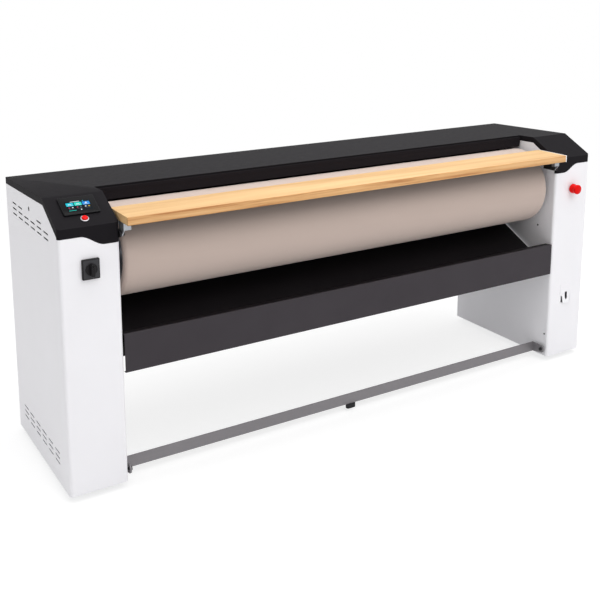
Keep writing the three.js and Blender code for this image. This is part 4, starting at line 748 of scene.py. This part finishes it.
def picture_patch(name, centre, size, corner, finish, level=0):
    """A lit patch a hair above the glass; its centre, size and corner are in millimetres."""
    low = SCREEN_FACE + PATCH_SEAT
    high = SCREEN_FACE + PATCH_FACE + PATCH_LEVEL * level
    middle = (PICTURE_MIDDLE[0] + centre[0] * MM, PICTURE_MIDDLE[1] + centre[1] * MM)
    extent = (size[0] * MM, size[1] * MM)
    patch = slab(name, slope, middle, extent, corner * MM, low, high, PATCH_EDGE, finish, PATCH_STEPS)
    belongs(patch, ROOT_BODY, "screen_plastic")


def picture():
    """A generic picture: a header line, three tiles with plain marks, and rows of small keys."""
    dark = lit("picture_ground", (8, 22, 30), 0.7)
    cyan = lit("tile_cyan", (20, 205, 225), 1.0)
    teal = lit("tile_teal", (40, 224, 206), 1.0)
    blue = lit("tile_blue", (40, 150, 235), 1.0)
    pale = lit("mark_pale", (232, 244, 248), 1.0)
    rose = lit("key_rose", (214, 60, 96), 0.9)
    amber = lit("key_amber", (238, 190, 60), 0.9)
    grey = lit("key_grey", (110, 122, 130), 0.8)
    picture_patch("picture_ground", (0, 0), (PICTURE_SIZE[0] / MM, PICTURE_SIZE[1] / MM), 1.5, dark)
    picture_patch("header_line", (-8, 23.5), (34, 2.6), 1.2, pale, 1)
    picture_patch("header_mark", (21, 24), (4, 4), 1.9, cyan, 1)
    for k, (tile, mark) in enumerate(((cyan, "bar"), (teal, "bar"), (blue, "dot"))):
        u = -29 + 29 * k
        picture_patch(f"tile_{k + 1}", (u, 10.5), (26, 17), 1.6, tile, 1)
        size = (12, 2.4) if mark == "bar" else (7, 7)
        picture_patch(f"tile_mark_{k + 1}", (u, 11.5), size, 1.1 if mark == "bar" else 3.4, pale, 2)
        picture_patch(f"tile_rule_{k + 1}", (u, 5.5), (18, 1.2), 0.5, pale, 2)
        left, right = ((rose, pale), (rose, grey), (pale, amber))[k]
        picture_patch(f"left_key_{k + 1}", (u - 6, -6.5), (5.4, 5.4), 2.6, left, 1)
        picture_patch(f"right_key_{k + 1}", (u + 6, -6.5), (5.4, 5.4), 2.6, right, 1)
        picture_patch(f"key_rule_{k + 1}", (u, -13.5), (17, 1.4), 0.6, grey, 1)
    picture_patch("home_dot", (4, -20.5), (5, 5), 2.4, pale, 1)
    picture_patch("footer_line", (-27, -22), (26, 2), 0.9, teal, 1)


touchscreen()
picture()


KEY_SPOT = (0.0, 40 * MM)
# The sizes of the stop key below are in millimetres, as its turned profiles are.
KEY_RADIUS = 10.4
KEY_ROUND = 1.6
KEY_SHOULDER = 6.6
KEY_RIM = 1.2
KEY_CROWN = 0.8
KEY_DEPTH = 14
KEY_STEPS = 64


def stop_key():
    """A bright turned bezel with a lipped edge round a domed red key."""
    centre = slope.points(KEY_SPOT, 0.0)
    bezel = [(10.8, -20), (12.5, -20), (12.5, 0.3), (15, 0.3), (15.2, 1.4), (14.9, 2.6), (14.1, 3.5),
             (13.2, 3.9), (12.2, 3.8), (11.5, 3.2), (10.9, 2.2), (10.8, -20)]
    ring = turned_piece("stop_bezel_ring", bezel, centre, slope.out, KEY_STEPS, FINISHES["bright_steel"])
    belongs(ring, ROOT_BODY, "bright_steel", "stop_bezel")
    turn = np.linspace(0, np.pi / 2, 6)
    flat = KEY_RADIUS - KEY_ROUND
    rim = KEY_SHOULDER + KEY_RIM
    edge = [(flat + KEY_ROUND * math.cos(t), KEY_SHOULDER + KEY_RIM * math.sin(t)) for t in turn]
    dome = [(r, rim + KEY_CROWN * (1 - (r / flat) ** 2)) for r in (8.0, 6.5, 5, 3.4, 1.8, 0)]
    profile = [(0, -KEY_DEPTH), (KEY_RADIUS, -KEY_DEPTH), *edge, *dome]
    key = turned_piece("stop_key_cap", profile, centre, slope.out, KEY_STEPS, FINISHES["red_plastic"])
    belongs(key, NODE_BODY["stop_button"], "red_plastic", "stop_button")


stop_key()

# ---------- main switch ----------

PLATE_LOW, PLATE_HIGH = box_corners("switch_plate")
KNOB_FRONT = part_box("switch_knob")[0][1]
SWITCH_AXIS = (PLATE_LOW + PLATE_HIGH) / 2
PLATE_SIZE = (62 * MM, 72 * MM)
PLATE_CORNER = 3 * MM
PLATE_EDGE = 2 * MM
PLATE_STEP = 1.5 * MM
PLATE_FACE_SIZE = (55 * MM, 65 * MM)
PLATE_FACE_CORNER = 2 * MM
PLATE_FACE_DEPTH = 3 * MM
PLATE_FACE_STEP = 0.6 * MM
PLATE_FACE_EDGE = 0.6 * MM
KNOB_CLEARANCE = 0.3 * MM
GRIP_WIDTH = 15 * MM
GRIP_TAPER = 2.5 * MM
GRIP_LENGTH = 46 * MM
GRIP_SHORTENING = 2 * MM
GRIP_CORNER = 5.5 * MM
GRIP_ROUND = 2 * MM
GRIP_START = 3 * MM
MARK_SPOT = (0, 14 * MM)
MARK_SIZE = (2 * MM, 11 * MM)
MARK_CORNER = 0.9 * MM
MARK_DEPTH = 0.6 * MM
MARK_EDGE = 0.1 * MM
switch_face = Place((SWITCH_AXIS[0], PLATE_HIGH[1], SWITCH_AXIS[2]), (1, 0, 0), (0, 0, 1))


def main_switch():
    """A plate with a raised face, and a turning knob: a flat disc, a tapered grip and a mark."""
    depth = PLATE_HIGH[1] - PLATE_LOW[1]
    plate = slab("switch_plate_body", switch_face, (0, 0), PLATE_SIZE, PLATE_CORNER,
                 0, depth - PLATE_STEP, PLATE_EDGE, FINISHES["black_plastic"])
    belongs(plate, ROOT_BODY, "black_plastic", "switch_plate")
    face = slab("switch_plate_face", switch_face, (0, 0), PLATE_FACE_SIZE, PLATE_FACE_CORNER,
                depth - PLATE_FACE_DEPTH, depth - PLATE_FACE_STEP, PLATE_FACE_EDGE, FINISHES["switch_plate"])
    belongs(face, ROOT_BODY, "black_plastic")
    back = PLATE_LOW[1] - KNOB_CLEARANCE
    centre = (SWITCH_AXIS[0], back, SWITCH_AXIS[2])
    profile = [(0, -33), (8, -33), (8, 0), (21, 0), (21.4, 0.6), (21.4, 2.4), (20.6, 3.6), (19, 4), (0, 4)]
    disc = turned_piece("switch_disc", profile, centre, (0, -1, 0), 64, FINISHES["black_plastic"])
    body = NODE_BODY["switch_knob"]
    belongs(disc, body, "black_plastic", "switch_knob")
    knob_face = Place(centre, (1, 0, 0), (0, 0, 1))
    reach = back - KNOB_FRONT
    straight = reach - GRIP_START - GRIP_ROUND
    rings = []
    for share in np.linspace(0, 1, 6):
        width = GRIP_WIDTH - GRIP_TAPER * share
        height = GRIP_LENGTH - GRIP_SHORTENING * share
        outline = rounded_rectangle(width, height, GRIP_CORNER)
        rings.append(knob_face.points(outline, GRIP_START + straight * share))
    for t in np.linspace(0, np.pi / 2, 5)[1:]:
        inset = GRIP_ROUND * (1 - math.cos(t))
        outline = rounded_rectangle(width - 2 * inset, height - 2 * inset, GRIP_CORNER - inset)
        rings.append(knob_face.points(outline, reach - GRIP_ROUND + GRIP_ROUND * math.sin(t)))
    grip = lofted("switch_grip", np.array(rings), FINISHES["black_plastic"])
    belongs(grip, body, "black_plastic")
    pale = moulded_plastic("mark_white", (226, 226, 228), 0.5)
    mark = slab("switch_mark", knob_face, MARK_SPOT, MARK_SIZE, MARK_CORNER,
                reach - MARK_DEPTH, reach, MARK_EDGE, pale)
    belongs(mark, body, "black_plastic")


main_switch()

# ---------- emergency stop ----------

STOP_LOW, STOP_HIGH = box_corners("estop_head")
# The turned profiles below are in millimetres.
HEAD_RADIUS = 22.4
WAIST_RADIUS = 19.6
HEAD_DOME = 5
FLANGE_RADIUS = 21.4
FLANGE_BEVEL = 1
FLANGE_HEIGHT = 6
WAIST_START = 7.5
WAIST_SHORTER = 20
FLARE_BELOW_FACE = 22
FLARE_LENGTH = 14
STEM_RADIUS = 11
STEM_BEVEL = 0.8


def emergency_stop():
    """A spool: a wide domed head, a narrow waist and a rear flange, all turned."""
    centre = ((STOP_LOW[0] + STOP_HIGH[0]) / 2, STOP_HIGH[1], (STOP_LOW[2] + STOP_HIGH[2]) / 2)
    length = (STOP_HIGH[1] - STOP_LOW[1]) / MM
    hollow = HEAD_RADIUS - WAIST_RADIUS
    quarter = np.pi / 2
    front = [(HEAD_RADIUS * math.cos(t), length - HEAD_DOME + HEAD_DOME * math.sin(t))
             for t in np.linspace(0, quarter, 10)]
    waist = [(WAIST_RADIUS + hollow / 2 * (1 + math.cos(t)),
              WAIST_START + (length - WAIST_SHORTER) / 2 * t / math.pi)
             for t in np.linspace(0, math.pi, 9)]
    flare = [(WAIST_RADIUS + hollow * math.sin(t) ** 2,
              length - FLARE_BELOW_FACE + FLARE_LENGTH * t / quarter)
             for t in np.linspace(0, quarter, 8)]
    flange = [(0, 0), (FLANGE_RADIUS, 0), (HEAD_RADIUS, FLANGE_BEVEL), (HEAD_RADIUS, FLANGE_HEIGHT)]
    profile = [(max(r, 0), h) for r, h in (*flange, *waist, *flare, *front)]
    head = turned_piece("emergency_head", profile, centre, (0, -1, 0), 72, FINISHES["red_plastic"])
    belongs(head, NODE_BODY["estop_head"], "red_plastic", "estop_head")
    low, high = box_corners("estop_stem")
    reach = (high[1] - low[1]) / MM
    narrow = STEM_RADIUS - STEM_BEVEL
    steps = [(0, 0), (narrow, 0), (STEM_RADIUS, STEM_BEVEL), (STEM_RADIUS, reach - STEM_BEVEL),
             (narrow, reach), (0, reach)]
    root = (centre[0], high[1], centre[2])
    stem = turned_piece("emergency_stem", steps, root, (0, -1, 0), 48, FINISHES["black_plastic"])
    belongs(stem, NODE_BODY["estop_stem"], "black_plastic", "estop_stem")


emergency_stop()

# ---------- small fasteners ----------


def screw_heads(name, centres, normal, radius, height, finish, body, slot):
    """Domed screw heads with a round socket, all in one mesh: each is the same turned profile,
    given as shares of the head's radius and height."""
    shares = [(1, 0), (1, 0.3), (0.93, 0.65), (0.75, 0.92), (0.5, 1), (0.42, 0.98), (0.4, 0.45), (0, 0.4)]
    dome = [(r * radius, h * height) for r, h in shares]
    vertices, faces = [], []
    steps = 24
    for centre in centres:
        rings = turned(dome, centre, normal, steps)
        faces += ring_faces(len(rings), steps, first=len(vertices))
        faces.append(list(range(len(vertices), len(vertices) + steps)))
        vertices += list(rings.reshape(-1, 3))
    piece = mesh_object(name, np.array(vertices), faces, finish)
    belongs(piece, body, slot)


INNER_LOW = box_corners("right_inner_plate")[0]
FRONT_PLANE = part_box("right_front_panel")[0][1]
FLOOR_TO_COLUMN = INNER_LOW[2]
# Places of the wall screws and the locks: back from the columns' front, up from their underside.
WALL_SCREWS = ((98 * MM, 641 * MM), (21 * MM, 111 * MM))
WALL_SCREW_RADIUS = 4.2 * MM
WALL_SCREW_HEIGHT = 2.6 * MM
REAR_SCREW_RADIUS = 4.5 * MM
REAR_SCREW_HEIGHT = 2.4 * MM
SCREW_INSET = 16 * MM
LOCK_SPOT = (FRONT_PLANE + 336 * MM, FLOOR_TO_COLUMN + 983 * MM)
LOCK_BIT_SIZE = (2.2 * MM, 7.5 * MM)
LOCK_BIT_CORNER = 1 * MM
LOCK_BIT_FLOOR = -1.3 * MM
LOCK_BIT_FACE = -0.2 * MM
LOCK_BIT_EDGE = 0.3 * MM
# The lock's turned profile is in millimetres.
LOCK_RADIUS = 8.7


def wall_screws():
    for side, at in ((-1, "left"), (1, "right")):
        wall = side * INNER_LOW[0]
        heads = [(wall, FRONT_PLANE + y, FLOOR_TO_COLUMN + z) for y, z in WALL_SCREWS]
        screw_heads(f"{at}_wall_screws", heads, (-side, 0, 0), WALL_SCREW_RADIUS, WALL_SCREW_HEIGHT,
                    FINISHES["black_oxide"], ROOT_BODY, "black_oxide")


def rear_row(name, node, columns, rows):
    """Screws in a grid over a rear sheet, drawn in from its edges by the same inset."""
    low, high = box_corners(node)
    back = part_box("rear_panel")[1][1]
    spots = [(x, back, z)
             for x in np.linspace(low[0] + SCREW_INSET, high[0] - SCREW_INSET, columns)
             for z in np.linspace(low[2] + SCREW_INSET, high[2] - SCREW_INSET, rows)]
    screw_heads(name, spots, (0, 1, 0), REAR_SCREW_RADIUS, REAR_SCREW_HEIGHT, FINISHES["zinc"],
                ROOT_BODY, "zinc")


def rear_screws():
    rear_row("rear_panel_screws", "rear_panel", 7, 2)
    for at in ("left", "right"):
        rear_row(f"{at}_cover_screws", f"{at}_rear_cover", 2, 4)


def panel_locks():
    """A lock in the round hole of each outer panel: a turned disc with a hollow face, and a
    small bar upright in the hollow."""
    for side, at in ((-1, "left"), (1, "right")):
        low, high = box_corners(f"{at}_outer_panel")
        face = high[0] if side > 0 else low[0]
        centre = (face, *LOCK_SPOT)
        steps = [(0, -14), (7.2, -14), (7.2, -2.6), (LOCK_RADIUS, -2.6), (LOCK_RADIUS, -0.7),
                 (LOCK_RADIUS - 0.7, -0.1), (5.2, -0.1), (4.8, -1.1), (0, -1.1)]
        disc = turned_piece(f"{at}_panel_lock", steps, centre, (side, 0, 0), 40, FINISHES["black_plastic"])
        belongs(disc, ROOT_BODY, "black_oxide")
        place = Place(centre, (0, side, 0), (0, 0, 1))
        bit = slab(f"{at}_lock_bit", place, (0, 0), LOCK_BIT_SIZE, LOCK_BIT_CORNER,
                   LOCK_BIT_FLOOR, LOCK_BIT_FACE, LOCK_BIT_EDGE, FINISHES["black_oxide"], 4)
        belongs(bit, ROOT_BODY, "black_oxide")


wall_screws()
rear_screws()
panel_locks()

# ---------- floor, world and lamps ----------

FLOOR_HALF = 30.0
HORIZON_LIGHT = 0.36
ZENITH_LIGHT = 1.0
FLOOR_GLOW = 0.7
FLOOR_SHADE = 0.38
FADE_FROM = 1.9
FADE_TO = 4.5
LAMP_SIZE = (4.0, 2.4)


def seen_directly(nodes, links):
    """1 for camera, glossy and transmission rays, 0 for diffuse light."""
    path = nodes.new("ShaderNodeLightPath")
    share = path.outputs["Is Camera Ray"]
    for ray in ("Is Glossy Ray", "Is Transmission Ray"):
        either = nodes.new("ShaderNodeMath")
        either.operation = "MAXIMUM"
        links.new(share, either.inputs[0])
        links.new(path.outputs[ray], either.inputs[1])
        share = either.outputs[0]
    return share


def floor_paper():
    """Pale paper for diffuse light. Seen directly it is a soft shadow on white: part glow, part
    lit paper, which fades to plain white with the distance from the machine."""
    paint = Finish("floor_paper", (236, 236, 237), 0.9, specular=0.0)
    paint.tint(paint.noise(0.5), 0.004)
    nodes, links = paint.nodes, paint.links
    lit_part = nodes.new("ShaderNodeBsdfDiffuse")
    lit_part.inputs["Color"].default_value = (FLOOR_SHADE, FLOOR_SHADE, FLOOR_SHADE, 1)
    glow = nodes.new("ShaderNodeEmission")
    glow.inputs["Strength"].default_value = FLOOR_GLOW
    shaded = nodes.new("ShaderNodeAddShader")
    links.new(lit_part.outputs[0], shaded.inputs[0])
    links.new(glow.outputs[0], shaded.inputs[1])
    distance = nodes.new("ShaderNodeVectorMath")
    distance.operation = "LENGTH"
    links.new(paint.coordinates.outputs["Object"], distance.inputs[0])
    fade = nodes.new("ShaderNodeMapRange")
    fade.interpolation_type = "SMOOTHSTEP"
    fade.inputs["From Min"].default_value = FADE_FROM
    fade.inputs["From Max"].default_value = FADE_TO
    links.new(distance.outputs["Value"], fade.inputs["Value"])
    white = nodes.new("ShaderNodeEmission")
    shown = nodes.new("ShaderNodeMixShader")
    links.new(fade.outputs["Result"], shown.inputs[0])
    links.new(shaded.outputs[0], shown.inputs[1])
    links.new(white.outputs[0], shown.inputs[2])
    final = nodes.new("ShaderNodeMixShader")
    links.new(seen_directly(nodes, links), final.inputs[0])
    links.new(paint.shader.outputs[0], final.inputs[1])
    links.new(shown.outputs[0], final.inputs[2])
    links.new(final.outputs[0], nodes["Material Output"].inputs["Surface"])
    return paint


def floor():
    mesh = bpy.data.meshes.new("floor")
    far = FLOOR_HALF
    corners = [(-far, -far, 0), (far, -far, 0), (far, far, 0), (-far, far, 0)]
    mesh.from_pydata(corners, [], [(0, 1, 2, 3)])
    plane = bpy.data.objects.new("floor", mesh)
    bpy.context.scene.collection.objects.link(plane)
    wear(plane, floor_paper())


def world():
    """White for the camera, for reflections and through glass. Diffuse light gets a softer level,
    which rises from the horizon to the zenith."""
    sky = bpy.data.worlds.new("studio")
    bpy.context.scene.world = sky
    sky.use_nodes = True
    nodes, links = sky.node_tree.nodes, sky.node_tree.links
    direction = nodes.new("ShaderNodeTexCoord")
    split = nodes.new("ShaderNodeSeparateXYZ")
    links.new(direction.outputs["Generated"], split.inputs["Vector"])
    height = nodes.new("ShaderNodeMapRange")
    height.inputs["To Min"].default_value = HORIZON_LIGHT
    height.inputs["To Max"].default_value = ZENITH_LIGHT
    links.new(split.outputs["Z"], height.inputs["Value"])
    level = nodes.new("ShaderNodeMapRange")
    level.inputs["To Max"].default_value = 1.0
    links.new(height.outputs["Result"], level.inputs["To Min"])
    links.new(seen_directly(nodes, links), level.inputs["Value"])
    background = nodes["Background"]
    background.inputs["Color"].default_value = (1, 1, 1, 1)
    links.new(level.outputs["Result"], background.inputs["Strength"])


def lamp(name, place, target, size, power):
    data = bpy.data.lights.new(name, "AREA")
    data.shape = "RECTANGLE"
    data.size, data.size_y = size
    data.energy = power
    lamp_object = bpy.data.objects.new(name, data)
    lamp_object.location = place
    direction = np.array(target) - np.array(place)
    yaw = math.atan2(direction[0], direction[1])
    drop = math.atan2(-direction[2], math.hypot(direction[0], direction[1]))
    lamp_object.rotation_euler = (math.pi / 2 - drop, 0, -yaw)
    bpy.context.scene.collection.objects.link(lamp_object)


floor()
world()
lamp("top_lamp", (0.2, -0.5, 4.2), (0, 0, 0.8), LAMP_SIZE, 66)
lamp("front_lamp", (0.8, -4.0, 4.3), (0, 0, 0.6), LAMP_SIZE, 74)
bpy.context.scene.view_settings.view_transform = "Standard"
